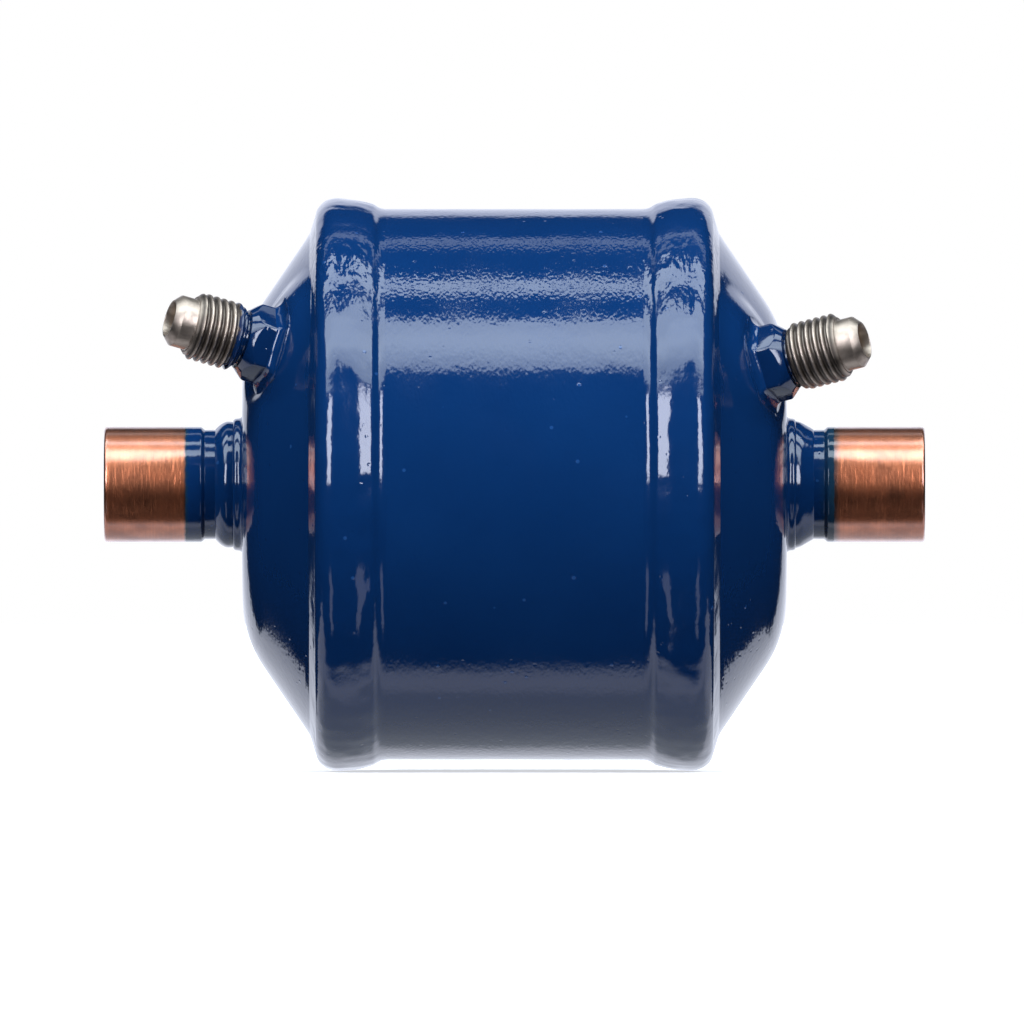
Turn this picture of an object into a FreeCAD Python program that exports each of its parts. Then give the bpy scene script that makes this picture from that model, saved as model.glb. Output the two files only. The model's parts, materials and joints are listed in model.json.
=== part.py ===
import FreeCAD, Part
import Sketcher
import os
import re

# Suction line filter drier: a welded steel can with a copper solder connector and a flare access
# valve at each end, and a moulded drying core, pad, screen and spring inside.
# Frame: X along the flow, from the inlet at -X to the outlet at +X. Z up. The origin is the middle
# of the can on its axis. All lengths are in millimetres and all angles in degrees.

doc = FreeCAD.newDocument("suction_line_drier")
sheet = doc.addObject("Spreadsheet::Sheet", "dims")

DIMENSIONS = {
    # the welded can
    "shell_od": 88.9,
    "shell_wall": 2.0,
    "shell_length": 62.0,
    "cap_span": 87.6,
    "cap_wall": 2.5,
    "skirt_length": 9.0,
    "skirt_clearance": 0.1,
    "cone_step": 0.7,
    "cone_angle": 55.76,
    "cone_flat_radius": 18.3,
    "skirt_bend_length": 1.2,
    "bead_width": 11.2,
    "bead_height": 1.85,
    "bead_overhang": 1.95,
    "bead_shoulder_radius": 3.5,
    "bead_knee": 4.6,
    "bead_crown": 0.4,
    # the copper connectors and their braze
    "tube_od": 18.55,
    "socket_bore": 15.95,
    "socket_depth": 16.0,
    "neck_od": 17.6,
    "neck_bore": 15.0,
    "neck_length": 6.1,
    "shoulder_length": 0.5,
    "stub_inside": 1.5,
    "tube_edge": 0.25,
    "collar_clearance": 0.05,
    "collar_wall": 1.75,
    "collar_height": 1.6,
    "collar_edge": 0.5,
    "braze_height": 1.9,
    "braze_run_out": 1.0,
    "braze_wall": 1.3,
    # where the access valves stand
    "valve_lean": 22.0,
    "inlet_valve_inset": 11.0,
    "outlet_valve_inset": 12.15,
    "inlet_valve_turn": 45.4,
    "outlet_valve_turn": 51.0,
    "inlet_hex_turn": 12.0,
    "outlet_hex_turn": 47.0,
    "pad_radius": 9.0,
    "pad_flank": 3.0,
    "pad_crown": 1.0,
    "pad_step": 0.3,
    "pad_relief": 2.0,
    # the turned valve body
    "shank_radius": 3.9,
    "shank_length": 4.0,
    "shank_clearance": 0.05,
    "hex_flats": 11.11,
    "hex_height": 5.0,
    "hex_front_radius": 4.7,
    "hex_chamfer": 1.9,
    "valve_neck_radius": 4.1,
    "valve_neck_length": 0.5,
    "thread_radius": 5.5,
    "thread_length": 8.3,
    "thread_chamfer": 0.9,
    "nose_radius": 4.18,
    "nose_length": 2.5,
    "flare_height": 1.1,
    "foot_braze_width": 1.5,
    "foot_braze_height": 1.4,
    "foot_braze_top": 0.2,
    # the bore of the valve and the core in it
    "mouth_radius": 2.8,
    "mouth_depth": 2.4,
    "core_bore_radius": 2.6,
    "seat_radius": 2.1,
    "seat_depth": 1.2,
    "outlet_hole_radius": 1.5,
    "chamber_clearance": 2.07,
    "plug_clearance": 0.05,
    "plug_drop": 0.6,
    "plug_length": 5.4,
    "plug_bridge_width": 2.4,
    "plug_bridge_height": 2.0,
    "plug_roof": 1.4,
    "pin_radius": 0.5,
    "pin_clearance": 0.1,
    "pin_drop": 1.0,
    "pin_tail": 0.8,
    "pin_collar_height": 0.5,
    "pin_travel": 1.8,
    "barrel_radius": 1.55,
    "barrel_wall": 0.4,
    "barrel_length": 6.6,
    "barrel_floor": 0.6,
    "barrel_flange": 0.5,
    "gasket_rim": 0.3,
    "seal_radius": 1.65,
    "seal_height": 0.6,
    "seal_gap": 0.03,
    "pin_flange_height": 0.6,
    "core_wire": 0.24,
    "core_spring_turns": 4.5,
    "core_spring_gap": 0.04,
    # the drying core and what holds it
    "core_flow_gap": 3.85,
    "core_length": 45.0,
    "core_hole_radius": 12.0,
    "core_edge": 1.5,
    "felt_thickness": 1.5,
    "pad_thickness": 5.0,
    "screen_thickness": 0.5,
    "plate_thickness": 1.2,
    "plate_ledge": 1.35,
    "plate_rim_gap": 0.2,
    "plate_grip": 2.6,
    "plate_hole_radius": 2.6,
    "plate_ring_spacing": 10.5,
    "lug_width": 10.0,
    "lug_clearance": 0.2,
    "lug_count": 4,
    "plate_spigot_height": 1.6,
    "spring_wire": 1.8,
    "spring_plate_radius": 20.0,
    "spring_cap_radius": 13.0,
    "spring_turns": 3.5,
}

for row, (alias, number) in enumerate(DIMENSIONS.items(), start=1):
    sheet.set(f"A{row}", alias)
    sheet.set(f"B{row}", str(number))
    sheet.setAlias(f"B{row}", alias)
doc.recompute()


def bound(words):
    """A formula in the sheet's aliases, as the document's own objects refer to it."""
    return re.sub(r"[a-z]+(?:_[a-z]+)+", lambda found: "dims." + found.group(0), words)


def value(words):
    """What a formula in the sheet's aliases comes to."""
    result = sheet.evalExpression(bound(words))
    return float(getattr(result, "Value", result))


def bind(thing, **formulas):
    """Ties properties of an object to formulas in the sheet's aliases."""
    for name, words in formulas.items():
        thing.setExpression(name, bound(words))


def new_body(label, placement=None):
    body = doc.addObject("PartDesign::Body", label)
    body.Label = label
    if placement:
        bind(body, Placement=placement)
    return body


def primitive(kind, label, placement, **sizes):
    """A Part primitive whose place and sizes are formulas."""
    shape = doc.addObject(kind, label)
    shape.Label = label
    bind(shape, Placement=placement, **sizes)
    return shape


def joined(kind, label, base, tool):
    """A Part boolean of two objects: Part::Fuse or Part::Cut."""
    result = doc.addObject(kind, label)
    result.Label = label
    result.Base = base
    result.Tool = tool
    doc.recompute()
    return result


def origin_plane(body, role):
    return next(plane for plane in body.Origin.OriginFeatures if plane.Role == role)


def attach(feature, body, role, offset=None):
    """Lays a sketch or a primitive on one of the body's own planes, moved by offset."""
    feature.AttachmentSupport = [(origin_plane(body, role), "")]
    feature.MapMode = "FlatFace"
    if offset:
        bind(feature, AttachmentOffset=offset)


def outline(body, name, corners, role="XZ_Plane", offset=None):
    """A closed sketch of straight lines. Each corner is a pair of formulas."""
    sketch = body.newObject("Sketcher::SketchObject", name)
    attach(sketch, body, role, offset)
    points = [FreeCAD.Vector(value(across), value(up), 0) for across, up in corners]
    for index, point in enumerate(points):
        following = points[(index + 1) % len(points)]
        sketch.addGeometry(Part.LineSegment(point, following), False)
    for index in range(len(points)):
        following = (index + 1) % len(points)
        sketch.addConstraint(Sketcher.Constraint("Coincident", index, 2, following, 1))
    for index, pair in enumerate(corners):
        for kind, words in zip(("DistanceX", "DistanceY"), pair):
            axis = -2 if kind == "DistanceX" else -1
            if words == "0":
                sketch.addConstraint(Sketcher.Constraint("PointOnObject", index, 1, axis))
                continue
            number = sketch.addConstraint(
                Sketcher.Constraint(kind, -1, 1, index, 1, value(words)))
            sketch.setExpression(f"Constraints[{number}]", bound(words))
    return sketch


def turned(body, name, corners, axis="H_Axis", cut=False):
    """A profile turned a full circle about the flow axis (H) or the body's own Z (V)."""
    sketch = outline(body, name + "_profile", corners)
    kind = "PartDesign::Groove" if cut else "PartDesign::Revolution"
    feature = body.newObject(kind, name)
    feature.Profile = sketch
    feature.ReferenceAxis = (sketch, [axis])
    feature.Angle = 360
    doc.recompute()
    return feature


def rounded(body, name, base, rings, radius):
    """Rounds the circular edges of base that lie at the given (radius, height) pairs."""
    near = 1e-3
    chosen = []
    for index, edge in enumerate(base.Shape.Edges, start=1):
        if not isinstance(edge.Curve, Part.Circle):
            continue
        place = edge.Curve.Center.dot(edge.Curve.Axis)
        for ring_radius, ring_height in rings:
            same_radius = abs(edge.Curve.Radius - value(ring_radius)) < near
            same_place = abs(abs(place) - abs(value(ring_height))) < near
            if same_radius and same_place:
                chosen.append(f"Edge{index}")
    feature = body.newObject("PartDesign::Fillet", name)
    feature.Base = (base, chosen)
    bind(feature, Radius=radius)
    doc.recompute()
    return feature


def hexagon(body, name, turn):
    """The sketch of the valve's hexagon, turned about the valve's axis."""
    corners = []
    for step in range(6):
        angle = f"({turn} + {30 + 60 * step})"
        reach = "hex_flats / 2 / cos(30)"
        corners.append((f"{reach} * cos({angle})", f"{reach} * sin({angle})"))
    return outline(body, name, corners, role="XY_Plane")


# The ends mirror each other, so each end piece is drawn at the outlet and turned round for the inlet.
ENDS = {
    "inlet": "rotation(vector(0; 0; 1); 180)",
    "outlet": "rotation(vector(0; 0; 1); 0)",
}


def end_placement(end, valve_side=False):
    """The placement of a piece drawn at the outlet, with its valve side turned to its place."""
    if not valve_side:
        return f"placement(vector(0; 0; 0); {ENDS[end]})"
    turn = f"rotation(vector(1; 0; 0); {end}_valve_turn)"
    return f"placement(vector(0; 0; 0); {turn} * {ENDS[end]})"


# Derived places and radii of the can.
shell_radius = "shell_od / 2"
shell_bore = f"({shell_radius} - shell_wall)"
shell_end = "shell_length / 2"
skirt_radius = f"({shell_bore} - skirt_clearance)"
skirt_bore = f"({skirt_radius} - cap_wall)"
skirt_inner_end = f"({shell_end} - skirt_length)"
cone_start = f"({shell_end} + cone_step)"
cap_face = "cap_span / 2"
cap_inner_face = f"({cap_face} - cap_wall)"
cone_tip_radius = f"({skirt_radius} - ({cap_face} - {cone_start}) * tan(cone_angle))"
inner_tip_radius = f"({cone_tip_radius} - cap_wall * tan(45 - cone_angle / 2))"
inner_cone_start = f"({cone_start} - cap_wall * tan(cone_angle / 2))"
neck_radius = "neck_od / 2"
collar_bore = f"({neck_radius} + collar_clearance)"
collar_radius = f"({collar_bore} + collar_wall)"
collar_end = f"({cap_face} + collar_height)"


def valve_placement(end):
    """Where the middle of a valve's foot meets the cone, and how the valve stands there."""
    inset = f"{end}_valve_inset"
    ring_radius = f"({skirt_radius} - {inset})"
    foot = f"({cone_start} + {inset} / tan(cone_angle))"
    on_the_pad = (f"placement(vector({foot}; 0; {ring_radius}); "
                  "rotation(vector(0; 1; 0); 90 - valve_lean))")
    return f"{end_placement(end, valve_side=True)} * {on_the_pad}"


def on_valve_axis(end, depth):
    """The placement of a piece on the valve's axis that starts at depth below the pad's face."""
    down = f"placement(vector(0; 0; -({depth})); rotation(vector(0; 0; 1); 0))"
    return f"{valve_placement(end)} * {down}"


nodes = []


def add_shell():
    body = new_body("shell")
    turned(body, "tube", [
        (f"-{shell_end}", shell_radius),
        (shell_end, shell_radius),
        (shell_end, shell_bore),
        (f"-{shell_end}", shell_bore),
    ])
    nodes.append(body)


def add_end_cap(end):
    """A pressed cap: skirt, cone, flat end with an extruded collar, and a flat pad for the valve."""
    body = new_body(f"{end}_plain_cap", end_placement(end, valve_side=True))
    bend = "skirt_bend_length"
    pressing = turned(body, f"{end}_pressing", [
        (skirt_inner_end, skirt_radius),
        (f"{cone_start} - {bend}", skirt_radius),
        (f"{cone_start} + {bend} * cos(cone_angle)", f"{skirt_radius} - {bend} * sin(cone_angle)"),
        (cap_face, cone_tip_radius),
        (cap_face, collar_radius),
        (f"{collar_end} - collar_edge", collar_radius),
        (collar_end, f"{collar_radius} - collar_edge"),
        (collar_end, collar_bore),
        (cap_inner_face, collar_bore),
        (cap_inner_face, inner_tip_radius),
        (inner_cone_start, skirt_bore),
        (skirt_inner_end, skirt_bore),
    ])
    outer_crown = rounded(body, f"{end}_outer_crown", pressing,
                          [(cone_tip_radius, cap_face)], "cone_flat_radius")
    rounded(body, f"{end}_inner_crown", outer_crown,
            [(inner_tip_radius, cap_inner_face)], "cone_flat_radius - cap_wall")
    doc.recompute()

    pad = primitive("Part::Cone", f"{end}_pad", on_valve_axis(end, "pad_flank"),
                    Radius1="pad_radius + pad_flank", Radius2="pad_radius - pad_crown",
                    Height="pad_flank + pad_crown")
    pad_face = primitive("Part::Cylinder", f"{end}_pad_face", on_valve_axis(end, "0"),
                         Radius="pad_radius + pad_step", Height="pad_flank")
    relief = primitive("Part::Cylinder", f"{end}_pad_relief", on_valve_axis(end, "cap_wall * 3"),
                       Radius="pad_radius - pad_relief", Height="cap_wall * 2")
    hole = primitive("Part::Cylinder", f"{end}_valve_hole",
                     on_valve_axis(end, "shank_length + cap_wall"),
                     Radius="shank_radius + shank_clearance",
                     Height="shank_length + cap_wall + pad_flank")
    padded = joined("Part::Fuse", f"{end}_padded_cap", body, pad)
    faced = joined("Part::Cut", f"{end}_faced_cap", padded, pad_face)
    relieved = joined("Part::Cut", f"{end}_relieved_cap", faced, relief)
    cap = joined("Part::Cut", f"{end}_end_cap", relieved, hole)
    nodes.append(cap)
    return cap


def add_weld_bead(end, cap):
    """The weld band over the shell's end, laid against the cap wherever the cap is."""
    body = new_body(f"{end}_bead_metal", end_placement(end))
    toe = f"({shell_end} - bead_width)"
    crest = f"({shell_radius} + bead_height)"
    foot = f"({shell_end} + bead_overhang)"
    in_the_wall = f"({skirt_radius} - (bead_overhang - cone_step) * tan(cone_angle) - cap_wall / 3)"
    metal = turned(body, f"{end}_bead_section", [
        (toe, shell_radius),
        (f"{toe} + bead_knee", f"{crest} - bead_crown"),
        (f"({toe} + bead_knee + {foot} - bead_shoulder_radius) / 2", crest),
        (foot, crest),
        (foot, in_the_wall),
        (shell_end, in_the_wall),
        (shell_end, shell_radius),
    ])
    rounded(body, f"{end}_bead_shoulder", metal, [(crest, foot)], "bead_shoulder_radius")
    nodes.append(joined("Part::Cut", f"{end}_weld_bead", body, cap))


def add_connector(end):
    """A drawn copper stub: the neck that is brazed in the collar, a swaged shoulder and the socket."""
    body = new_body(f"{end}_connector", end_placement(end))
    tube_radius = "tube_od / 2"
    socket_radius = "socket_bore / 2"
    neck_bore_radius = "neck_bore / 2"
    shoulder = f"({cap_face} + neck_length)"
    socket_floor = f"({shoulder} + shoulder_length / 2)"
    mouth = f"({socket_floor} + socket_depth)"
    step = f"({socket_radius} - {neck_bore_radius})"
    turned(body, f"{end}_stub", [
        (f"{cap_inner_face} - stub_inside", neck_radius),
        (shoulder, neck_radius),
        (f"{shoulder} + shoulder_length", tube_radius),
        (f"{mouth} - tube_edge", tube_radius),
        (mouth, f"{tube_radius} - tube_edge"),
        (mouth, socket_radius),
        (socket_floor, socket_radius),
        (f"{socket_floor} - {step}", neck_bore_radius),
        (f"{cap_inner_face} - stub_inside", neck_bore_radius),
    ])
    nodes.append(body)


def add_connector_braze(end):
    """Braze metal on the collar's end, running out along the copper."""
    body = new_body(f"{end}_connector_braze", end_placement(end))
    ring_end = f"({collar_end} + braze_height)"
    turned(body, f"{end}_braze_ring", [
        (collar_end, neck_radius),
        (collar_end, f"{neck_radius} + braze_wall + collar_clearance"),
        (f"{ring_end} - braze_run_out / 2", f"{neck_radius} + braze_wall"),
        (ring_end, f"{neck_radius} + braze_wall / 2"),
        (f"{ring_end} + braze_run_out", neck_radius),
    ])
    nodes.append(body)


# Heights on a valve's own axis, counted out from the pad that its foot stands on.
valve_neck_end = "(hex_height + valve_neck_length)"
thread_end = f"({valve_neck_end} + thread_length)"
nose_end = f"({thread_end} + nose_length)"
valve_tip = f"({nose_end} + flare_height)"
mouth_floor = f"({valve_tip} - mouth_depth)"


# Heights of the valve core's pieces, on the same axis.
plug_radius = "(core_bore_radius - plug_clearance)"
plug_top = f"({mouth_floor} - plug_drop)"
plug_bottom = f"({plug_top} - plug_length)"
flange_bottom = f"({plug_bottom} - barrel_flange)"
barrel_bottom = f"({plug_bottom} - barrel_length)"
barrel_bore = "(barrel_radius - barrel_wall)"
seal_top = f"({barrel_bottom} - seal_gap)"
seal_bottom = f"({seal_top} - seal_height)"
pin_flange_bottom = f"({seal_bottom} - pin_flange_height)"
pin_hole = "(pin_radius + pin_clearance)"
spring_floor = f"({barrel_bottom} + barrel_floor)"
collar_top = f"({plug_bottom} - core_spring_gap)"
collar_bottom = f"({collar_top} - pin_collar_height)"

# Heights in the valve's bore that follow the core's pieces.
seat_top = f"({flange_bottom} - gasket_rim)"
seat_floor = f"({seat_top} - seat_depth)"
chamber_floor = f"({pin_flange_bottom} - pin_travel - chamber_clearance)"


def add_valve_body(end):
    """A turned body: shank, hexagon, neck, threaded barrel and the bare flare nose with its bore."""
    body = new_body(f"{end}_valve_body", valve_placement(end))
    flare_tip = "nose_radius - flare_height"
    turned(body, f"{end}_valve_turning", [
        ("0", "-shank_length"),
        ("shank_radius", "-shank_length"),
        ("shank_radius", "hex_height / 2"),
        ("valve_neck_radius", "hex_height / 2"),
        ("valve_neck_radius", valve_neck_end),
        ("thread_radius - thread_chamfer", valve_neck_end),
        ("thread_radius", f"{valve_neck_end} + thread_chamfer"),
        ("thread_radius", f"{thread_end} - thread_chamfer"),
        ("thread_radius - thread_chamfer", thread_end),
        ("nose_radius", thread_end),
        ("nose_radius", nose_end),
        (flare_tip, valve_tip),
        ("0", valve_tip),
    ], axis="V_Axis")
    hexagon_pad = body.newObject("PartDesign::Pad", f"{end}_hexagon")
    hexagon_pad.Profile = hexagon(body, f"{end}_hexagon_sketch", f"{end}_hex_turn")
    bind(hexagon_pad, Length="hex_height")
    doc.recompute()
    beyond = "hex_flats"
    turned(body, f"{end}_hexagon_front", [
        ("hex_front_radius", "hex_height"),
        (f"hex_front_radius + {beyond}", "hex_height"),
        (f"hex_front_radius + {beyond}",
         f"hex_height - {beyond} * hex_chamfer / (hex_flats / 2 / cos(30) - hex_front_radius)"),
    ], axis="V_Axis", cut=True)
    turned(body, f"{end}_valve_bore", [
        ("0", f"{valve_tip}"),
        ("mouth_radius", f"{valve_tip}"),
        ("mouth_radius", mouth_floor),
        ("core_bore_radius", mouth_floor),
        ("core_bore_radius", seat_top),
        ("seat_radius", seat_floor),
        ("seat_radius", chamber_floor),
        ("outlet_hole_radius", chamber_floor),
        ("outlet_hole_radius", "-shank_length"),
        ("0", "-shank_length"),
    ], axis="V_Axis", cut=True)
    nodes.append(body)


def add_valve_braze(end):
    """A braze fillet between the pad and the hexagon's foot."""
    body = new_body(f"{end}_valve_braze", valve_placement(end))
    corner = "hex_flats / 2 / cos(30)"
    turned(body, f"{end}_foot_fillet", [
        ("0", "0"),
        (f"{corner} + foot_braze_width", "0"),
        (f"{corner} + foot_braze_top", "foot_braze_height"),
        ("0", "foot_braze_height"),
    ], axis="V_Axis")
    opening = body.newObject("PartDesign::Pocket", f"{end}_hexagon_opening")
    opening.Profile = hexagon(body, f"{end}_opening_sketch", f"{end}_hex_turn")
    opening.Type = "ThroughAll"
    opening.Reversed = True
    doc.recompute()
    nodes.append(body)


def add_core_plug(end):
    """The threaded plug of the core, with the bridge that a key turns and the pin passes through."""
    body = new_body(f"{end}_core_plug", valve_placement(end))
    roof = f"({plug_top} - plug_roof)"
    hollow = f"({plug_radius} - barrel_wall * 2)"
    turned(body, f"{end}_plug_turning", [
        (pin_hole, plug_top),
        (plug_radius, plug_top),
        (plug_radius, plug_bottom),
        (hollow, plug_bottom),
        (hollow, roof),
        (pin_hole, roof),
    ], axis="V_Axis")
    for side in (-1, 1):
        flat = body.newObject("PartDesign::SubtractiveBox", f"{end}_plug_flat")
        away = f"{side} * (plug_bridge_width / 2 + core_bore_radius / 2) - core_bore_radius / 2"
        attach(flat, body, "XY_Plane",
               f"placement(vector({away}; -core_bore_radius; {plug_top} - plug_bridge_height); "
               "rotation(vector(0; 0; 1); 0))")
        bind(flat, Length="core_bore_radius", Width="core_bore_radius * 2", Height="plug_bridge_height")
        doc.recompute()
    nodes.append(body)


def add_core_gasket(end):
    """The soft ring round the barrel that seals on the coned seat of the bore."""
    body = new_body(f"{end}_core_gasket", valve_placement(end))
    turned(body, f"{end}_gasket_turning", [
        ("barrel_radius", seat_floor),
        ("seat_radius", seat_floor),
        ("core_bore_radius", seat_top),
        ("core_bore_radius", flange_bottom),
        ("barrel_radius", flange_bottom),
    ], axis="V_Axis")
    nodes.append(body)


def add_core_barrel(end):
    """The sleeve that hangs from the plug, guides the pin's collar and ends in the seal's seat."""
    body = new_body(f"{end}_core_barrel", valve_placement(end))
    turned(body, f"{end}_barrel_turning", [
        (pin_hole + " + barrel_wall / 2", barrel_bottom),
        ("barrel_radius", barrel_bottom),
        ("barrel_radius", flange_bottom),
        (plug_radius, flange_bottom),
        (plug_radius, plug_bottom),
        (barrel_bore, plug_bottom),
        (barrel_bore, spring_floor),
        (pin_hole + " + barrel_wall / 2", spring_floor),
    ], axis="V_Axis")
    nodes.append(body)


def add_core_pin(end):
    """The pin that a hose depressor pushes, with its spring collar and the flange under the seal."""
    body = new_body(f"{end}_core_pin", valve_placement(end))
    pin_tip = f"({valve_tip} - pin_drop)"
    tail = f"({pin_flange_bottom} - pin_tail)"
    turned(body, f"{end}_pin_turning", [
        ("0", tail),
        ("pin_radius", tail),
        ("pin_radius", pin_flange_bottom),
        ("seal_radius", pin_flange_bottom),
        ("seal_radius", seal_bottom),
        ("pin_radius", seal_bottom),
        ("pin_radius", collar_bottom),
        (f"{barrel_bore} - pin_clearance", collar_bottom),
        (f"{barrel_bore} - pin_clearance", collar_top),
        ("pin_radius", collar_top),
        ("pin_radius", f"{pin_tip} - pin_radius / 2"),
        ("pin_radius / 2", pin_tip),
        ("0", pin_tip),
    ], axis="V_Axis")
    nodes.append(body)


def add_core_seal(end):
    """The rubber washer on the pin that closes the barrel from below."""
    body = new_body(f"{end}_core_seal", valve_placement(end))
    turned(body, f"{end}_seal_turning", [
        ("pin_radius", seal_bottom),
        ("seal_radius", seal_bottom),
        ("seal_radius", seal_top),
        ("pin_radius", seal_top),
    ], axis="V_Axis")
    nodes.append(body)


def add_coil(body, name, radius, height, turns, wire, cone_angle="0", start="0"):
    """A coil spring about the body's Z. The round wire has six sides here."""
    corners = []
    for step in range(6):
        angle = 60 * step
        corners.append((f"{radius} + {wire} / 2 * cos({angle})",
                        f"{start} + {wire} / 2 * sin({angle + 360})" if step % 3 else start))
    coil = body.newObject("PartDesign::AdditiveHelix", name)
    sketch = outline(body, name + "_wire", corners)
    coil.Profile = sketch
    coil.ReferenceAxis = (sketch, ["V_Axis"])
    coil.Mode = "pitch-height-angle"
    bind(coil, Pitch=f"({height}) / {turns}", Height=height, Angle=cone_angle)
    doc.recompute()


def add_core_spring(end):
    """The spring between the barrel's floor and the pin's collar."""
    body = new_body(f"{end}_core_spring", valve_placement(end))
    mean = f"(({barrel_bore} + pin_radius) / 2)"
    start = f"({spring_floor} + core_wire / 2 + core_spring_gap)"
    height = f"{collar_bottom} - core_wire / 2 - core_spring_gap - {start}"
    add_coil(body, f"{end}_core_coil", mean, height, "core_spring_turns", "core_wire", start=start)
    nodes.append(body)


# Places along the flow axis of what the can holds, counted back from the outlet cap's cone.
core_radius = f"({skirt_bore} - core_flow_gap)"
plate_radius = f"({skirt_bore} - plate_ledge)"
plate_seat = f"({inner_cone_start} + plate_ledge / tan(cone_angle))"
plate_back = f"({plate_seat} - plate_thickness)"
screen_back = f"({plate_back} - screen_thickness)"
pad_back = f"({screen_back} - pad_thickness)"
core_back = f"({pad_back} - core_length)"
felt_back = f"({core_back} - felt_thickness)"
pressure_back = f"({felt_back} - plate_thickness)"
rim_bore = f"({core_radius} + plate_rim_gap)"
rim_radius = f"({rim_bore} + plate_thickness)"


def holes_in_ring(body, name, count, radius):
    """One hole cut through the plate's floor, repeated in a ring about the flow axis."""
    cutter = body.newObject("PartDesign::SubtractiveCylinder", name)
    attach(cutter, body, "YZ_Plane",
           f"placement(vector({radius}; 0; {plate_back} - plate_thickness); "
           "rotation(vector(0; 0; 1); 0))")
    bind(cutter, Radius="plate_hole_radius", Height="plate_thickness * 3")
    doc.recompute()
    if count == 1:
        return
    ring = body.newObject("PartDesign::PolarPattern", name + "_ring")
    ring.Originals = [cutter]
    ring.Axis = (origin_plane(body, "X_Axis"), [""])
    ring.Angle = 360
    ring.Occurrences = count
    body.Tip = ring
    doc.recompute()


def add_outlet_plate():
    """A pressed cup with a perforated floor that seats on the outlet cap's cone."""
    body = new_body("outlet_plate")
    rim_end = f"({pad_back} - plate_grip)"
    turned(body, "outlet_cup", [
        (plate_seat, "0"),
        (plate_seat, plate_radius),
        (plate_back, plate_radius),
        (plate_back, rim_radius),
        (rim_end, rim_radius),
        (rim_end, rim_bore),
        (plate_back, rim_bore),
        (plate_back, "0"),
    ])
    holes_in_ring(body, "centre_hole", 1, "0")
    holes_in_ring(body, "near_hole", 6, "plate_ring_spacing")
    holes_in_ring(body, "far_hole", 12, "plate_ring_spacing * 2")
    nodes.append(body)


def add_pressure_plate():
    """A pressed cup over the core's inlet end, with lugs that centre it in the inlet cap's skirt."""
    body = new_body("pressure_plate")
    rim_end = f"({core_back} + plate_grip)"
    spigot_radius = "(spring_plate_radius - spring_wire / 2 - plate_rim_gap)"
    turned(body, "pressure_cup", [
        (pressure_back, "0"),
        (pressure_back, rim_radius),
        (rim_end, rim_radius),
        (rim_end, rim_bore),
        (felt_back, rim_bore),
        (felt_back, "0"),
    ])
    spigot = body.newObject("PartDesign::AdditiveCylinder", "spring_spigot")
    attach(spigot, body, "YZ_Plane",
           f"placement(vector(0; 0; {pressure_back} - plate_spigot_height); "
           "rotation(vector(0; 0; 1); 0))")
    bind(spigot, Radius=spigot_radius, Height="plate_spigot_height")
    hollow = body.newObject("PartDesign::SubtractiveCylinder", "spigot_hollow")
    attach(hollow, body, "YZ_Plane",
           f"placement(vector(0; 0; {felt_back} - plate_spigot_height); "
           "rotation(vector(0; 0; 1); 0))")
    bind(hollow, Radius=f"{spigot_radius} - plate_thickness", Height="plate_spigot_height")
    doc.recompute()
    lug = body.newObject("PartDesign::AdditiveBox", "lug")
    attach(lug, body, "YZ_Plane",
           f"placement(vector({rim_bore}; -lug_width / 2; {pressure_back}); "
           "rotation(vector(0; 0; 1); 0))")
    bind(lug, Length=f"{skirt_bore} - lug_clearance - {rim_bore}", Width="lug_width",
         Height="plate_thickness")
    doc.recompute()
    lugs = body.newObject("PartDesign::PolarPattern", "lugs")
    lugs.Originals = [lug]
    lugs.Axis = (origin_plane(body, "X_Axis"), [""])
    lugs.Angle = 360
    bind(lugs, Occurrences="lug_count")
    body.Tip = lugs
    doc.recompute()
    nodes.append(body)


def add_desiccant_core():
    """The moulded block with its through hole."""
    body = new_body("desiccant_core")
    block = turned(body, "block", [
        (core_back, "core_hole_radius"),
        (core_back, core_radius),
        (pad_back, core_radius),
        (pad_back, "core_hole_radius"),
    ])
    chamfer = body.newObject("PartDesign::Chamfer", "block_edges")
    outer = []
    for index, edge in enumerate(block.Shape.Edges, start=1):
        if isinstance(edge.Curve, Part.Circle) and edge.Curve.Radius > value("core_hole_radius") + 1:
            outer.append(f"Edge{index}")
    chamfer.Base = (block, outer)
    bind(chamfer, Size="core_edge")
    nodes.append(body)


def add_disc(label, low, high, outer, inner="0"):
    """A flat disc or ring across the flow, from low to high along it."""
    body = new_body(label)
    turned(body, label + "_section", [(low, inner), (low, outer), (high, outer), (high, inner)])
    nodes.append(body)


def add_loading_spring():
    """The coned spring that presses the plate, core and pad against the outlet cap."""
    body = new_body("loading_spring", f"placement(vector({pressure_back}; 0; 0); "
                    "rotation(vector(0; 1; 0); -90))")
    start = "(spring_wire / 2)"
    height = f"({cap_inner_face} + {pressure_back} - spring_wire)"
    narrowing = f"atan((spring_cap_radius - spring_plate_radius) / {height})"
    add_coil(body, "coned_coil", "spring_plate_radius", height, "spring_turns", "spring_wire",
             cone_angle=narrowing, start=start)
    nodes.append(body)


add_shell()
for end in ENDS:
    cap = add_end_cap(end)
    add_weld_bead(end, cap)
    add_connector(end)
    add_connector_braze(end)
    add_valve_body(end)
    add_valve_braze(end)
    add_core_plug(end)
    add_core_gasket(end)
    add_core_barrel(end)
    add_core_pin(end)
    add_core_seal(end)
    add_core_spring(end)
add_outlet_plate()
add_disc("outlet_screen", screen_back, plate_back, core_radius)
add_disc("filter_pad", pad_back, screen_back, core_radius)
add_desiccant_core()
add_disc("core_felt", felt_back, core_back, f"{core_radius} - core_edge", "core_hole_radius")
add_pressure_plate()
add_loading_spring()
doc.recompute()

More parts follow.
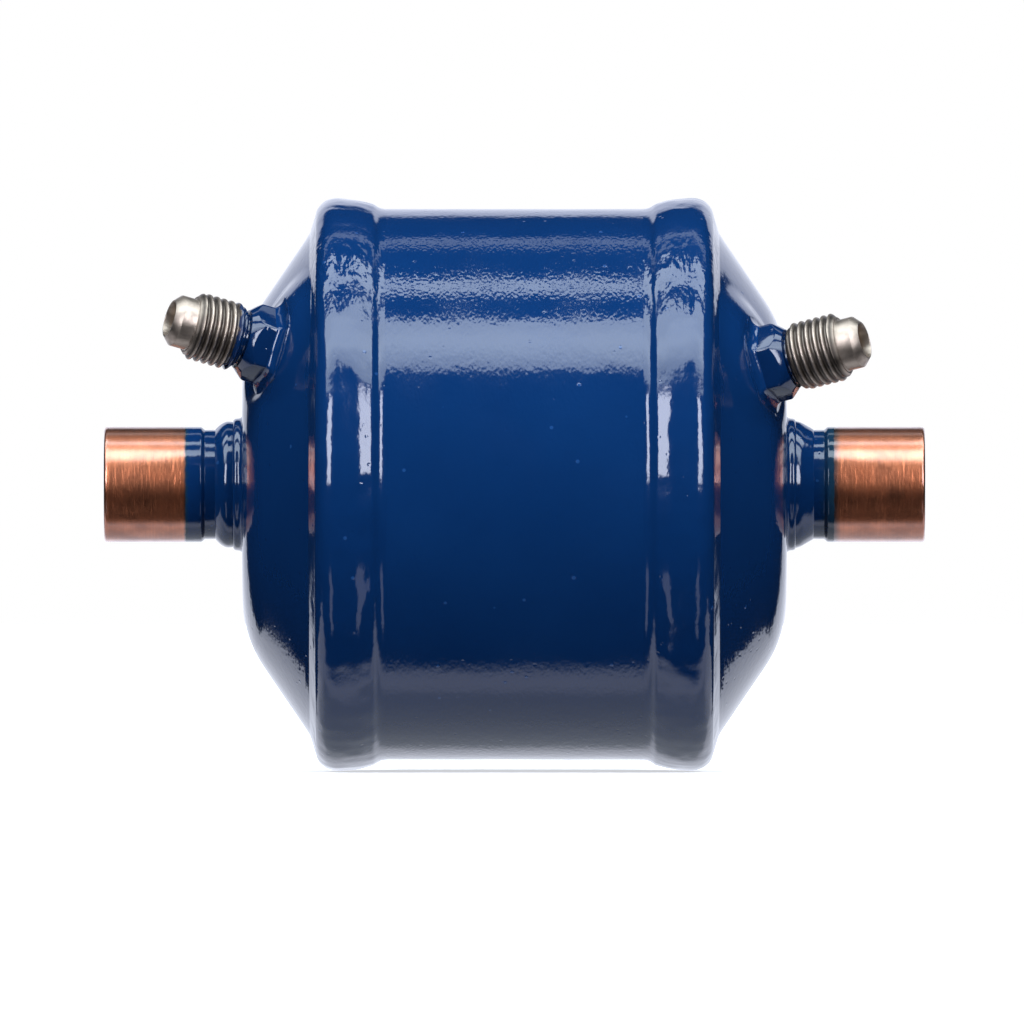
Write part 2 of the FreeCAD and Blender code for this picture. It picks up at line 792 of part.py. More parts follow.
for thing in doc.Objects:
    if "Invalid" in thing.State or "Error" in thing.State:
        raise RuntimeError(f"{thing.Label} did not build: {thing.State}")
os.makedirs("parts", exist_ok=True)
for node in nodes:
    if node.Shape.isNull() or not node.Shape.isValid() or len(node.Shape.Solids) != 1:
        raise RuntimeError(f"{node.Label} is not one valid solid")
for node in nodes:
    node.Shape.exportStep(f"parts/{node.Label}.step")
    print(node.Label, round(node.Shape.Volume, 2))
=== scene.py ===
# %% [markdown]
# # A suction line filter drier
# The real object is a short steel can with a pressed cap welded on at each end. A copper stub and a
# small service valve are brazed into each cap, and the whole thing is then sprayed in gloss blue
# enamel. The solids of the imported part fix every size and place. This lesson dresses them: it lays
# finer meshes over the outer solids and gives each piece, seen or hidden, its finish.

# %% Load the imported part
import json
import math

import bmesh
import bpy
from mathutils import Matrix, Vector, noise


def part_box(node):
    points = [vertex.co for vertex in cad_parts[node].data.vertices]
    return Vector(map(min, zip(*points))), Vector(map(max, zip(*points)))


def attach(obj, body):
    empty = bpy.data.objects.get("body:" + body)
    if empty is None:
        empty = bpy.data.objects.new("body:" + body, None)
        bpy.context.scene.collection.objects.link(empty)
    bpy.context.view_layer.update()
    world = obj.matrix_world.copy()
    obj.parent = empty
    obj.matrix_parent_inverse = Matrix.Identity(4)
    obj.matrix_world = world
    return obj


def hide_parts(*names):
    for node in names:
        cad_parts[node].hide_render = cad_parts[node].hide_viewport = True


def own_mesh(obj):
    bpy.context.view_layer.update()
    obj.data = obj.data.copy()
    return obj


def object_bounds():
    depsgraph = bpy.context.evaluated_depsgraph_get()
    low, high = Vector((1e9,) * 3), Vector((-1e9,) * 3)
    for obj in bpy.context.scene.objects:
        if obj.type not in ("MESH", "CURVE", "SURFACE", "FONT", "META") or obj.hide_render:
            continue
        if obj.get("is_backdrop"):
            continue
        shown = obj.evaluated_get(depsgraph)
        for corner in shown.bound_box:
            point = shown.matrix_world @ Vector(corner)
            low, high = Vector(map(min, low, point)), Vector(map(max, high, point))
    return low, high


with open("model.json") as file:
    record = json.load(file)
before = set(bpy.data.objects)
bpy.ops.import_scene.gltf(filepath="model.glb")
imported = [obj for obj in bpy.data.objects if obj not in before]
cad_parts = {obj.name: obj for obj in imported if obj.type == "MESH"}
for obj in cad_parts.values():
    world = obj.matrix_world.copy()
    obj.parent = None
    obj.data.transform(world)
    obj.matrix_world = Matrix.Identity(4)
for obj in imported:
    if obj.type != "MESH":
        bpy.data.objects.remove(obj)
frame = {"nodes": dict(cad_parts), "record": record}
cad_low, cad_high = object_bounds()
MM = 0.001
print("solids loaded:", len(frame["nodes"]))

# %% [markdown]
# ## Sizes that come from the frame
# A dressed piece has to sit where its solid sits, so the main sizes are read from the solids' boxes
# and from the mounts in the record. The outlet end is the pattern, and the inlet end is the same thing
# turned round. All lengths below are in millimetres until a mesh is made.

# %% Read the main sizes


def reach(node, axis):
    """How far a node reaches along an axis (0, 1 or 2) from the middle of the can."""
    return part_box(node)[1][axis] / MM


mounts = {mount["name"]: mount for mount in frame["record"]["mounts"]}
ENDS = ("inlet", "outlet")
BARREL_RADIUS = reach("shell", 2)
SHELL_END = reach("shell", 0)
CREST_RADIUS = reach("outlet_weld_bead", 2)
BEAD_FOOT = reach("outlet_weld_bead", 0)
COLLAR_END = reach("outlet_end_cap", 0)
TUBE_RADIUS = reach("outlet_connector", 2)
TUBE_END = reach("outlet_connector", 0)
SOCKET_RADIUS = mounts["outlet_socket"]["dims"]["r_mm"]
SOCKET_DEPTH = mounts["outlet_socket"]["dims"]["length_mm"]
THREAD_RADIUS = mounts["outlet_flare"]["dims"]["r_mm"]
THREAD_CHAMFER = 0.9
THREAD_START = 5.5
THREAD_END = THREAD_START + mounts["outlet_flare"]["dims"]["length_mm"] + 2 * THREAD_CHAMFER
print("barrel radius", round(BARREL_RADIUS, 2), "tube end", round(TUBE_END, 2))

# %% [markdown]
# ## Where each valve stands
# A valve's own Z runs out along its axis, and its zero is on the pressed pad. The flare mount gives a
# point on that axis, and the foot is a known distance back from it. The foot gives the angle round the
# can, and the cap is turned by the same angle, so pad and valve agree.

# %% Place the ends and the valves


class Stand:
    """Where the pieces of one end stand: its clock angle, and the frames of its cap and valve."""

    def __init__(self, end):
        mount = mounts[end + "_flare"]
        axis = Vector(mount["axis"])
        foot = Vector(mount["pos_m"]) / MM - (THREAD_START + THREAD_END) / 2 * axis
        self.lean = math.acos(abs(axis.x))
        clock = Matrix.Rotation(math.atan2(-foot.y, foot.z), 4, "X")
        half_turn = Matrix.Rotation(math.pi, 4, "Z")
        towards_x = Matrix.Rotation(-math.pi / 2, 4, "Y")
        self.cap = clock @ (half_turn @ towards_x if end == "outlet" else towards_x)
        upright = Matrix.Rotation(math.pi / 2 - self.lean, 4, "Y")
        turned_round = clock @ (upright if end == "outlet" else half_turn @ upright)
        self.valve = Matrix.Translation(foot * MM) @ turned_round


stands = {end: Stand(end) for end in ENDS}
for end in ENDS:
    print(end, "valve leans", round(math.degrees(stands[end].lean), 2), "degrees")

# %% [markdown]
# ## Softening an outline
# Nearly everything here was turned, drawn or rolled, so most pieces start as a closed outline of
# (radius, height) points. Its corners are softened, because a perfectly sharp edge never catches the
# light. A Bevel modifier would round them too, but here each corner gets a cut of its own.

# %% Soften the corners
SIDE_SHARE = 0.48
BROAD_CUT = 1
SMALL_STEPS = 4
BROAD_STEPS = 10


def softened(corners, spacing):
    """A closed outline. A corner is (radius, height, cut): the curve starts that far before it."""
    points = []
    for index, (radius, height, cut) in enumerate(corners):
        here = Vector((radius, height))
        before = Vector(corners[index - 1][:2]) - here
        after = Vector(corners[(index + 1) % len(corners)][:2]) - here
        if not cut:
            points.append(here)
            continue
        start = here + before.normalized() * min(cut, before.length * SIDE_SHARE)
        finish = here + after.normalized() * min(cut, after.length * SIDE_SHARE)
        steps = SMALL_STEPS if cut < BROAD_CUT else BROAD_STEPS
        for step in range(steps + 1):
            t = step / steps
            points.append(start * (1 - t) ** 2 + here * 2 * t * (1 - t) + finish * t ** 2)
    spaced = []
    for index, point in enumerate(points):
        following = points[(index + 1) % len(points)]
        parts = max(1, math.ceil((following - point).length / spacing))
        spaced += [point.lerp(following, part / parts) for part in range(parts)]
    return spaced


print("points in a softened triangle:", len(softened([(0, 0, 1), (9, 0, 1), (9, 9, 1)], 3)))

# %% [markdown]
# ## Turning a profile
# One helper carries an outline round the Z axis. A push function may move each point along its
# normal, which is how a weld gets its lumps. The Spin tool or a Screw modifier would turn the profile
# too, but the push needs the finished points.

# %% Turn an outline into a piece
SAME_POINT = 1e-7
SHARP_ANGLE = 40


def finished(name, points, faces, place=Matrix(), sharp=SHARP_ANGLE):
    """Makes an object of points in millimetres, with smooth shading that breaks at sharp edges."""
    mesh = bpy.data.meshes.new(name)
    mesh.from_pydata([point * MM for point in points], [], faces)
    work = bmesh.new()
    work.from_mesh(mesh)
    bmesh.ops.remove_doubles(work, verts=work.verts, dist=SAME_POINT)
    bmesh.ops.dissolve_degenerate(work, edges=work.edges, dist=SAME_POINT)
    bmesh.ops.recalc_face_normals(work, faces=work.faces)
    work.to_mesh(mesh)
    work.free()
    mesh.shade_smooth()
    mesh.set_sharp_from_angle(angle=math.radians(sharp))
    piece = bpy.data.objects.new(name, mesh)
    bpy.context.scene.collection.objects.link(piece)
    piece.matrix_world = place
    return piece


def turned(name, outline, place, columns=256, push=None):
    """Turns a closed outline about Z, then lays it in place. push(point, facing) gives a shift."""
    count = len(outline)
    normals = []
    for index in range(count):
        along = outline[(index + 1) % count] - outline[index - 1]
        normals.append(Vector((along.y, -along.x)).normalized())
    points = []
    for column in range(columns):
        angle = math.tau * column / columns
        out = Vector((math.cos(angle), math.sin(angle), 0))
        for (radius, height), normal in zip(outline, normals):
            point = out * radius + Vector((0, 0, height))
            if push:
                facing = out * normal.x + Vector((0, 0, normal.y))
                point = point + facing * push(point, facing)
            points.append(place @ point)
    faces = []
    for column in range(columns):
        here = column * count
        there = (column + 1) % columns * count
        for index in range(count):
            after = (index + 1) % count
            faces.append((here + index, here + after, there + after, there + index))
    return finished(name, points, faces)


# %% [markdown]
# ## Lumps, and the list of made pieces
# Smooth noise gives every uneven surface here, and its seed makes each piece different. A finished
# piece is told which solid it stands for, so the solid is hidden and the piece rides on the can.

# %% Noise, and keeping a piece


def lumps(point, size, seed):
    """Smooth noise from -1 to 1 whose lumps are about size millimetres apart."""
    return noise.noise(point / size + Vector((seed, seed * 0.7, -seed)))


made = {}


def keep(piece, node):
    """A finished piece stands for a solid of the can: the solid is hidden and the piece rides on the
    can.
    """
    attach(piece, "can")
    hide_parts(node)
    made[piece.name] = piece
    print(piece.name, "triangles:", sum(len(face.vertices) - 2 for face in piece.data.polygons))


# %% [markdown]
# ## The barrel
# The barrel is plain rolled tube. It is not quite true after welding, so its reflections waver a
# little. A tiny slow push gives that waver, far too small to see as a shape.

# %% Make the barrel
SHELL_WALL = 2.0
WAVER = 0.012
LONG_WAVE = 14
SHORT_WAVE = 5


def wavering(point, facing):
    return WAVER * (lumps(point, LONG_WAVE, 3.1) + 0.5 * lumps(point, SHORT_WAVE, 8.2))


barrel_outline = softened([
    (BARREL_RADIUS, -SHELL_END, 0.2),
    (BARREL_RADIUS, SHELL_END, 0.2),
    (BARREL_RADIUS - SHELL_WALL, SHELL_END, 0),
    (BARREL_RADIUS - SHELL_WALL, -SHELL_END, 0),
], spacing=1.6)
keep(turned("barrel_tube", barrel_outline, Matrix.Rotation(math.pi / 2, 4, "Y"), push=wavering),
     "shell")

# %% [markdown]
# ## The weld bands
# A machine lays a wide bead over the joint of barrel and cap while the can turns. Its toe runs out on
# the barrel in a small hollow, its crest is nearly flat, and its shoulder steps down onto the cap.
# It stays lumpy under the enamel, which makes its highlights run and break. So the lumps are real
# geometry here: big soft ones, a finer set, and ripples that run along the axis. They fade out where
# the bead meets the barrel and the cone, so both joints stay clean.

# %% Make the weld bands
CONE_START = 31.7
SKIRT_RADIUS = 42.35
CONE_ANGLE = math.radians(55.76)
TOE = 21.2
BEAD_LUMP = 0.10
BIG_LUMPS = 4.6
FINE_LUMPS = 1.9
RIPPLE_ROUND = 2.2
RIPPLE_ALONG = 9
BARREL_FADE = 1.2
CONE_FADE = 2
BAND_COLUMNS = 360


def cone_radius(height):
    return SKIRT_RADIUS - (height - CONE_START) * math.tan(CONE_ANGLE)


def bead_lumps(seed):
    def push(point, facing):
        radius = math.hypot(point.x, point.y)
        raised = min(1, max(0, (radius - BARREL_RADIUS + 0.1) / BARREL_FADE))
        if point.z > SHELL_END + 1:
            raised = min(1, max(0, (radius - cone_radius(point.z)) / CONE_FADE))
        big = lumps(point, BIG_LUMPS, seed)
        fine = lumps(point, FINE_LUMPS, seed + 5)
        stretched = Vector((point.x / RIPPLE_ROUND, point.y / RIPPLE_ROUND, point.z / RIPPLE_ALONG))
        ripple = lumps(stretched, 1, seed + 9)
        return raised * BEAD_LUMP * (big + 0.35 * fine + 0.45 * ripple - 0.55)
    return push


bead_outline = softened([
    (BARREL_RADIUS - 1, TOE - 1.9, 0),
    (BARREL_RADIUS - 0.04, TOE - 1.7, 0),
    (BARREL_RADIUS + 0.03, TOE + 0.3, 0.95),
    (BARREL_RADIUS + 0.88, TOE + 1.5, 0.35),
    (CREST_RADIUS - 0.36, TOE + 3.6, 0.9),
    (CREST_RADIUS, TOE + 7.7, 1.2),
    (CREST_RADIUS - 0.5, TOE + 9.4, 0.7),
    (CREST_RADIUS - 1.7, TOE + 10.6, 0.9),
    (cone_radius(BEAD_FOOT) + 0.1, BEAD_FOOT, 0.25),
    (cone_radius(BEAD_FOOT + 0.6), BEAD_FOOT + 0.62, 0),
    (cone_radius(BEAD_FOOT + 0.6) - 0.8, BEAD_FOOT, 0),
], spacing=0.3)
for end, seed in zip(ENDS, (11.0, 27.0)):
    keep(turned(end + "_weld_band", bead_outline, stands[end].cap, BAND_COLUMNS, bead_lumps(seed)),
         end + "_weld_bead")

# %% [markdown]
# ## The pressed caps
# Each cap is one pressing: a skirt inside the barrel, a cone, a flat end, a collar drawn out round the
# copper stub, and a flat pad that the valve stands on. All but the pad is round, so the cap is turned
# first, as an outline with the same sheet thickness all along it.

# %% Turn the caps
CAP_FACE = 43.8
CAP_WALL = 2.5
COLLAR_BORE = 8.85
COLLAR_RADIUS = 10.6
SKIRT_LENGTH = 9
CAP_COLUMNS = 384
tip_radius = cone_radius(CAP_FACE)
inner_start = CONE_START - CAP_WALL * math.tan(CONE_ANGLE / 2)
inner_tip = tip_radius - CAP_WALL * math.tan(math.pi / 4 - CONE_ANGLE / 2)
cap_outline = softened([
    (SKIRT_RADIUS, SHELL_END - SKIRT_LENGTH, 0.3),
    (SKIRT_RADIUS, CONE_START, 1.8),
    (tip_radius, CAP_FACE, 6.0),
    (COLLAR_RADIUS + 0.1, CAP_FACE, 0.9),
    (COLLAR_RADIUS, COLLAR_END, 0.6),
    (COLLAR_BORE, COLLAR_END, 0.1),
    (COLLAR_BORE, CAP_FACE - CAP_WALL, 0.3),
    (inner_tip, CAP_FACE - CAP_WALL, 4.0),
    (SKIRT_RADIUS - CAP_WALL, inner_start, 1.0),
    (SKIRT_RADIUS - CAP_WALL, SHELL_END - SKIRT_LENGTH, 0.3),
], spacing=0.5)
for end in ENDS:
    keep(turned(end + "_pressed_cap", cap_outline, stands[end].cap, CAP_COLUMNS),
         end + "_end_cap")

# %% [markdown]
# ## The pressed pads
# The pad is part of the pressing, not a separate plate. The points of the turned cap are pushed along
# the valve's axis until they meet the plane of the pad, fully inside the pad's rim and less and less
# over a short flank, the way a press tool flows the sheet. The inner skin stops one wall lower.

# %% Press the pads
PAD_RADIUS = 7.4
PAD_FLANK = 2.8
PAD_EASE = 1.5
EASE_DEPTH = 3
INNER_SKIN = 2.9


def pressed(piece, stand):
    """Presses the pad into a cap: points near the valve's axis move along it to the pad's plane."""
    to_valve = stand.valve.inverted() @ piece.matrix_world
    back = to_valve.inverted()
    moved = 0
    for vertex in piece.data.vertices:
        local = to_valve @ vertex.co
        flank = PAD_FLANK + PAD_EASE * max(0, min(EASE_DEPTH, -local.z / MM))
        away = (math.hypot(local.x, local.y) / MM - PAD_RADIUS) / flank
        share = 1 - min(1, max(0, away))
        share = share * share * (3 - 2 * share)
        depth = -CAP_WALL * MM if local.z < -INNER_SKIN * MM else 0
        local.z += (depth - local.z) * share
        vertex.co = back @ local
        moved += share > 0
    return moved


for end in ENDS:
    print(end, "cap, points pressed:", pressed(made[end + "_pressed_cap"], stands[end]))

# %% [markdown]
# ## The holes in the pads
# The valve's shank stands in a round hole in the pad, and the pin of the valve core moves down through
# the shank, so the sheet has to be open there. The faces inside the hole are taken out, the points at
# its edge move onto the circle, and the rims of the outer and the inner skin are bridged.

# %% Cut the holes
SHANK_HOLE = 3.95
HOLE_REACH = 6.0


def pierced(piece, stand):
    """Opens the round hole for the valve's shank, and joins its two rims through the sheet."""
    to_valve = stand.valve.inverted() @ piece.matrix_world
    back = to_valve.inverted()
    work = bmesh.new()
    work.from_mesh(piece.data)
    inside = {}
    for vertex in work.verts:
        local = to_valve @ vertex.co
        away = math.hypot(local.x, local.y)
        if away < SHANK_HOLE * MM and abs(local.z) < HOLE_REACH * MM:
            inside[vertex] = (local, away)
    within = [face for face in work.faces if all(vertex in inside for vertex in face.verts)]
    bmesh.ops.delete(work, geom=within, context="FACES")
    for vertex, (local, away) in inside.items():
        if vertex.is_valid:
            stretch = SHANK_HOLE * MM / away
            vertex.co = back @ Vector((local.x * stretch, local.y * stretch, local.z))
    rims = [edge for edge in work.edges if edge.is_boundary]
    bmesh.ops.bridge_loops(work, edges=rims)
    bmesh.ops.recalc_face_normals(work, faces=work.faces)
    for face in work.faces:
        face.smooth = True
    work.to_mesh(piece.data)
    work.free()
    piece.data.set_sharp_from_angle(angle=math.radians(SHARP_ANGLE))
    return len(rims)


for end in ENDS:
    print(end, "cap, edges round the hole:", pierced(made[end + "_pressed_cap"], stands[end]))

# %% [markdown]
# ## The copper stubs and their braze
# The stub is drawn tube with its end expanded into a socket, so it has a narrower neck, a short
# shoulder and a thin round lip. The braze sits on the collar as a fat ring and runs out along the neck.

# %% Make the stubs and the braze rings
NECK_RADIUS = 8.8
NECK_BORE = 7.5
NECK_START = CAP_FACE - CAP_WALL - 1.5
SHOULDER = TUBE_END - SOCKET_DEPTH - 0.2
BRAZE_LUMP = 0.06
BRAZE_LUMPS = 2.4
STUB_COLUMNS = 192
stub_outline = softened([
    (NECK_RADIUS, NECK_START, 0.2),
    (NECK_RADIUS, SHOULDER, 0.15),
    (TUBE_RADIUS, SHOULDER + 0.5, 0.25),
    (TUBE_RADIUS, TUBE_END, 0.55),
    (SOCKET_RADIUS, TUBE_END, 0.4),
    (SOCKET_RADIUS, TUBE_END - SOCKET_DEPTH, 0.2),
    (NECK_BORE, TUBE_END - SOCKET_DEPTH - 0.5, 0.2),
    (NECK_BORE, NECK_START, 0.2),
], spacing=0.8)
BRAZE_RINGS = {
    "inlet": [(10.1, -0.1, 0.1), (10.2, 1.0, 0.6), (9.75, 1.95, 0.6), (NECK_RADIUS + 0.02, 2.9, 0.8)],
    "outlet": [(10.3, -0.1, 0.1), (10.1, 0.7, 0.5), (9.4, 1.9, 0.8), (NECK_RADIUS + 0.02, 2.9, 0.5)],
}


def braze_outline(end):
    """The ring's outline. Its heights are counted from the end of the collar."""
    inner = NECK_RADIUS - 0.2
    corners = [(inner, -0.1, 0)] + BRAZE_RINGS[end] + [(inner, 2.9, 0)]
    return softened([(radius, COLLAR_END + height, cut) for radius, height, cut in corners], 0.3)


def braze_lumps(seed):
    return lambda point, facing: BRAZE_LUMP * lumps(point, BRAZE_LUMPS, seed)


for end, seed in zip(ENDS, (4.0, 9.0)):
    keep(turned(end + "_copper_stub", stub_outline, stands[end].cap, STUB_COLUMNS),
         end + "_connector")
    ring = turned(end + "_braze_ring", braze_outline(end), stands[end].cap, STUB_COLUMNS,
                  braze_lumps(seed))
    keep(ring, end + "_connector_braze")

# %% [markdown]
# ## The access valves
# A valve is turned from hexagon bar: shank, hexagon with its turned chamfer, neck, a cut thread, and
# the coned nose that a flared hose seals on. All of it shares one set of columns round the axis, so
# the body is a stack of loops. Heights are counted from the pad, along the valve.

# %% Sizes of a valve
COLUMNS = 144
HEX_HALF = 11.11 / 2
HEX_HEIGHT = 5.0
HEX_FRONT = 4.7
HEX_CHAMFER = 1.9
HEX_ROUNDING = 0.45
HEX_TURN = {"inlet": 42.0, "outlet": 77.0}
SHANK_RADIUS = 3.9
SHANK_LENGTH = 4.0
VALVE_NECK = 4.1
PITCH = 25.4 / 20
THREAD_DEPTH = 0.6
NOSE_RADIUS = 4.18
NOSE_END = THREAD_END + 2.5
VALVE_TIP = NOSE_END + 1.1
MOUTH_RADIUS = 2.8
MOUTH_FLOOR = VALVE_TIP - 2.4
CORE_BORE = 2.6
SEAT_TOP = MOUTH_FLOOR - 6.8
SEAT_FLOOR = SEAT_TOP - 1.2
CHAMBER_RADIUS = 2.1
CHAMBER_FLOOR = SEAT_FLOOR - 9.7
OUTLET_HOLE = 1.5
print("valve stands", round(VALVE_TIP, 2), "mm over its pad")

# %% [markdown]
# ## Loops round the axis
# The hexagon is a radius that depends on the angle, and its chamfer is where a cone meets that radius.
# So a loop takes its radius and height as numbers, or as functions of the angle, and the round parts
# join the hexagon with no extra points.

# %% The hexagon and its loops


def hexagon_reach(angle):
    """The radius of a hexagon with rounded corners, at an angle from one corner."""
    half_side = math.pi / 6
    beside = (angle + half_side) % (2 * half_side) - half_side
    centre = (HEX_HALF - HEX_ROUNDING) / math.cos(half_side)
    limit = math.atan2(HEX_ROUNDING / 2, centre + HEX_ROUNDING * math.cos(half_side))
    if abs(beside) < limit:
        across = centre * math.sin(beside)
        return centre * math.cos(beside) + math.sqrt(HEX_ROUNDING ** 2 - across ** 2)
    return HEX_HALF / math.cos(half_side - abs(beside))


def ring_of(radius, height):
    """One loop of points round the axis. Radius and height may be functions of the angle."""
    loop = []
    for column in range(COLUMNS):
        angle = math.tau * column / COLUMNS
        r = radius(angle) if callable(radius) else radius
        z = height(angle, r) if callable(height) else height
        loop.append(Vector((r * math.cos(angle), r * math.sin(angle), z)))
    return loop


def loops(profile):
    return [ring_of(radius, height) for radius, height in profile]


def joined_rings(rings, points, faces):
    """Adds loops of points and the faces between each loop and the next."""
    for index, loop in enumerate(rings):
        start = len(points)
        points += loop
        if index == 0:
            continue
        for column in range(COLUMNS):
            after = (column + 1) % COLUMNS
            faces.append((start - COLUMNS + column, start - COLUMNS + after, start + after,
                          start + column))


print("hexagon's corner radius:", round(hexagon_reach(0), 2))

# %% [markdown]
# ## The cut thread
# The thread is a true helix: each column carries the same tooth, lifted by its share of the pitch. The
# tooth is limited by a cone at each end, so the thread runs out on its chamfers as a cut one does. A
# Screw modifier makes a helix too, but not these ends.

# %% Cut the thread
TOOTH = [(0, 0), (0.1, 0.03), (0.18, 0.2), (0.34, 0.82), (0.42, 0.97), (0.5, 1), (0.58, 0.97),
         (0.66, 0.82), (0.82, 0.2), (0.9, 0.03), (1, 0)]
THREAD_TURNS = math.ceil((THREAD_END - THREAD_START) / PITCH) + 1
THREAD_EDGE = THREAD_RADIUS - THREAD_CHAMFER


def helical_thread(points, faces):
    """Carries the tooth, as (share of the pitch, share of the depth) points, up the helix."""
    root = THREAD_RADIUS - THREAD_DEPTH
    start = len(points)
    for step in range(THREAD_TURNS * COLUMNS + 1):
        angle = math.tau * step / COLUMNS
        for share, raised in TOOTH:
            z = THREAD_START - PITCH + PITCH * (step / COLUMNS + share)
            z = min(THREAD_END, max(THREAD_START, z))
            r = root + THREAD_DEPTH * raised
            r = min(r, THREAD_EDGE + z - THREAD_START, THREAD_EDGE + THREAD_END - z)
            if z in (THREAD_START, THREAD_END):
                r = THREAD_EDGE
            points.append(Vector((r * math.cos(angle), r * math.sin(angle), z)))
    width = len(TOOTH)
    for step in range(THREAD_TURNS * COLUMNS):
        for index in range(width - 1):
            here = start + step * width + index
            faces.append((here, here + width, here + width + 1, here + 1))


print("turns of thread:", THREAD_TURNS)

# %% [markdown]
# ## The valve body
# The loops go up the outside from the shank to the nose and come back down the bore, so the body is
# one closed skin. Each edge gets a small second loop beside it, for a fine turned edge.

# %% Make the valve bodies
SOFT_EDGE = 0.12
CHAMFER_RATE = HEX_CHAMFER / (HEX_HALF / math.cos(math.pi / 6) - HEX_FRONT)
VALVE_SHARP = 32


def valve_body(end):
    def six(angle):
        return hexagon_reach(angle - math.radians(HEX_TURN[end]))

    def inner_six(angle):
        return six(angle) - SOFT_EDGE

    def chamfer(angle, radius):
        return HEX_HEIGHT - (radius - HEX_FRONT) * CHAMFER_RATE

    points, faces = [], []
    joined_rings(loops([
        (OUTLET_HOLE, -SHANK_LENGTH),
        (SHANK_RADIUS - 0.2, -SHANK_LENGTH),
        (SHANK_RADIUS, -SHANK_LENGTH + 0.2),
        (SHANK_RADIUS, 0),
        (inner_six, 0),
        (six, SOFT_EDGE),
        (six, lambda angle, radius: chamfer(angle, radius) - SOFT_EDGE),
        (inner_six, chamfer),
        (HEX_FRONT + 0.1, HEX_HEIGHT - 0.05),
        (HEX_FRONT - 0.1, HEX_HEIGHT),
        (VALVE_NECK + 0.1, HEX_HEIGHT),
        (VALVE_NECK, HEX_HEIGHT + 0.1),
        (VALVE_NECK, THREAD_START),
        (THREAD_EDGE, THREAD_START),
    ]), points, faces)
    helical_thread(points, faces)
    cone = VALVE_TIP - NOSE_END
    joined_rings(loops([
        (THREAD_EDGE, THREAD_END),
        (NOSE_RADIUS + 0.15, THREAD_END),
        (NOSE_RADIUS, THREAD_END + 0.15),
        (NOSE_RADIUS, NOSE_END - 0.12),
        (NOSE_RADIUS - 0.05, NOSE_END + 0.02),
        (NOSE_RADIUS - cone + 0.05, VALVE_TIP - 0.08),
        (NOSE_RADIUS - cone - 0.03, VALVE_TIP),
        (MOUTH_RADIUS + 0.05, VALVE_TIP),
        (MOUTH_RADIUS, VALVE_TIP - 0.08),
        (MOUTH_RADIUS, MOUTH_FLOOR),
        (CORE_BORE, MOUTH_FLOOR - 0.1),
        (CORE_BORE, SEAT_TOP),
        (CHAMBER_RADIUS, SEAT_FLOOR),
        (CHAMBER_RADIUS, CHAMBER_FLOOR),
        (OUTLET_HOLE, CHAMBER_FLOOR),
        (OUTLET_HOLE, -SHANK_LENGTH),
    ]), points, faces)
    return finished(end + "_flare_valve", points, faces, stands[end].valve, sharp=VALVE_SHARP)


for end in ENDS:
    keep(valve_body(end), end + "_valve_body")

# %% [markdown]
# ## The braze at each valve's foot
# Braze metal wets both the pad and the hexagon, so its surface is hollow: steep where it climbs the
# hexagon and flat where it runs out on the pad. It follows the six sides, and it is never even.

# %% Make the foot fillets
FOOT_RUN = 2.1
FOOT_CLIMB = 1.5
FOOT_BURIED = 0.25
FOOT_UNEVEN = 0.35
FOOT_LUMPS = 3.5
FOOT_ROUNDING = 0.3
FOOT_CIRCLE = 6.4
FILLET_STEPS = 8
FILLET_SHARP = 60


def foot_fillet(end, seed):
    rings = []
    for step in range(FILLET_STEPS + 1):
        bend = step / FILLET_STEPS * math.pi / 2
        spread_out = 1 - math.sin(bend)
        loop = []
        for column in range(COLUMNS):
            angle = math.tau * column / COLUMNS
            side = hexagon_reach(angle - math.radians(HEX_TURN[end]))
            out = Vector((math.cos(angle), math.sin(angle), 0))
            amount = 1 + FOOT_UNEVEN * lumps(out * 6, FOOT_LUMPS, seed)
            r = side - 0.05 + FOOT_RUN * spread_out * amount
            r += FOOT_ROUNDING * (FOOT_CIRCLE - side) * spread_out
            z = FOOT_CLIMB * amount * (1 - math.cos(bend)) + 0.02
            loop.append(out * r + Vector((0, 0, z)))
        rings.append(loop)
    inner = hexagon_reach(math.pi / 6) - 0.6
    rings.append(ring_of(inner, FOOT_CLIMB))
    rings.append(ring_of(inner, -FOOT_BURIED))
    rings.append([point - Vector((0, 0, FOOT_BURIED + 0.02)) for point in rings[0]])
    rings.append(rings[0])
    points, faces = [], []
    joined_rings(rings, points, faces)
    return finished(end + "_foot_fillet", points, faces, stands[end].valve, sharp=FILLET_SHARP)


for end, seed in zip(ENDS, (2.0, 6.0)):
    keep(foot_fillet(end, seed), end + "_valve_braze")

# %% [markdown]
# ## The springs of the valve cores
# Each pin is held up by a small coil between its collar and the floor of its barrel. The coil gets
# shorter as the pin goes down. A copy of the solid stands for it.


def core_coil(end):
    solid = frame["nodes"][end + "_core_spring"]
    coil = bpy.data.objects.new(end + "_core_coil", solid.data.copy())
    bpy.context.scene.collection.objects.link(coil)
    coil.matrix_world = solid.matrix_world
    keep(coil, end + "_core_spring")
    valve = stands[end].valve
    to_valve = valve.inverted() @ coil.matrix_world
    heights = [(to_valve @ vertex.co).z for vertex in coil.data.vertices]
    end + "_pin_press"
    valve.to_3x3() @ Vector((0, 0, 1))
    valve @ Vector((0, 0, min(heights)))
    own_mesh(coil)


for end in ENDS:
    core_coil(end)

# %% [markdown]
# ## Writing shader maths as Python
# A material is a graph of nodes, and a graph is slow to read as a list of links. So a Wire stands for
# one output socket. Adding or multiplying wires adds the Math nodes, and the expression reads as the
# formula it is. Reflected operators do the same where the number comes first.

# %% The wire


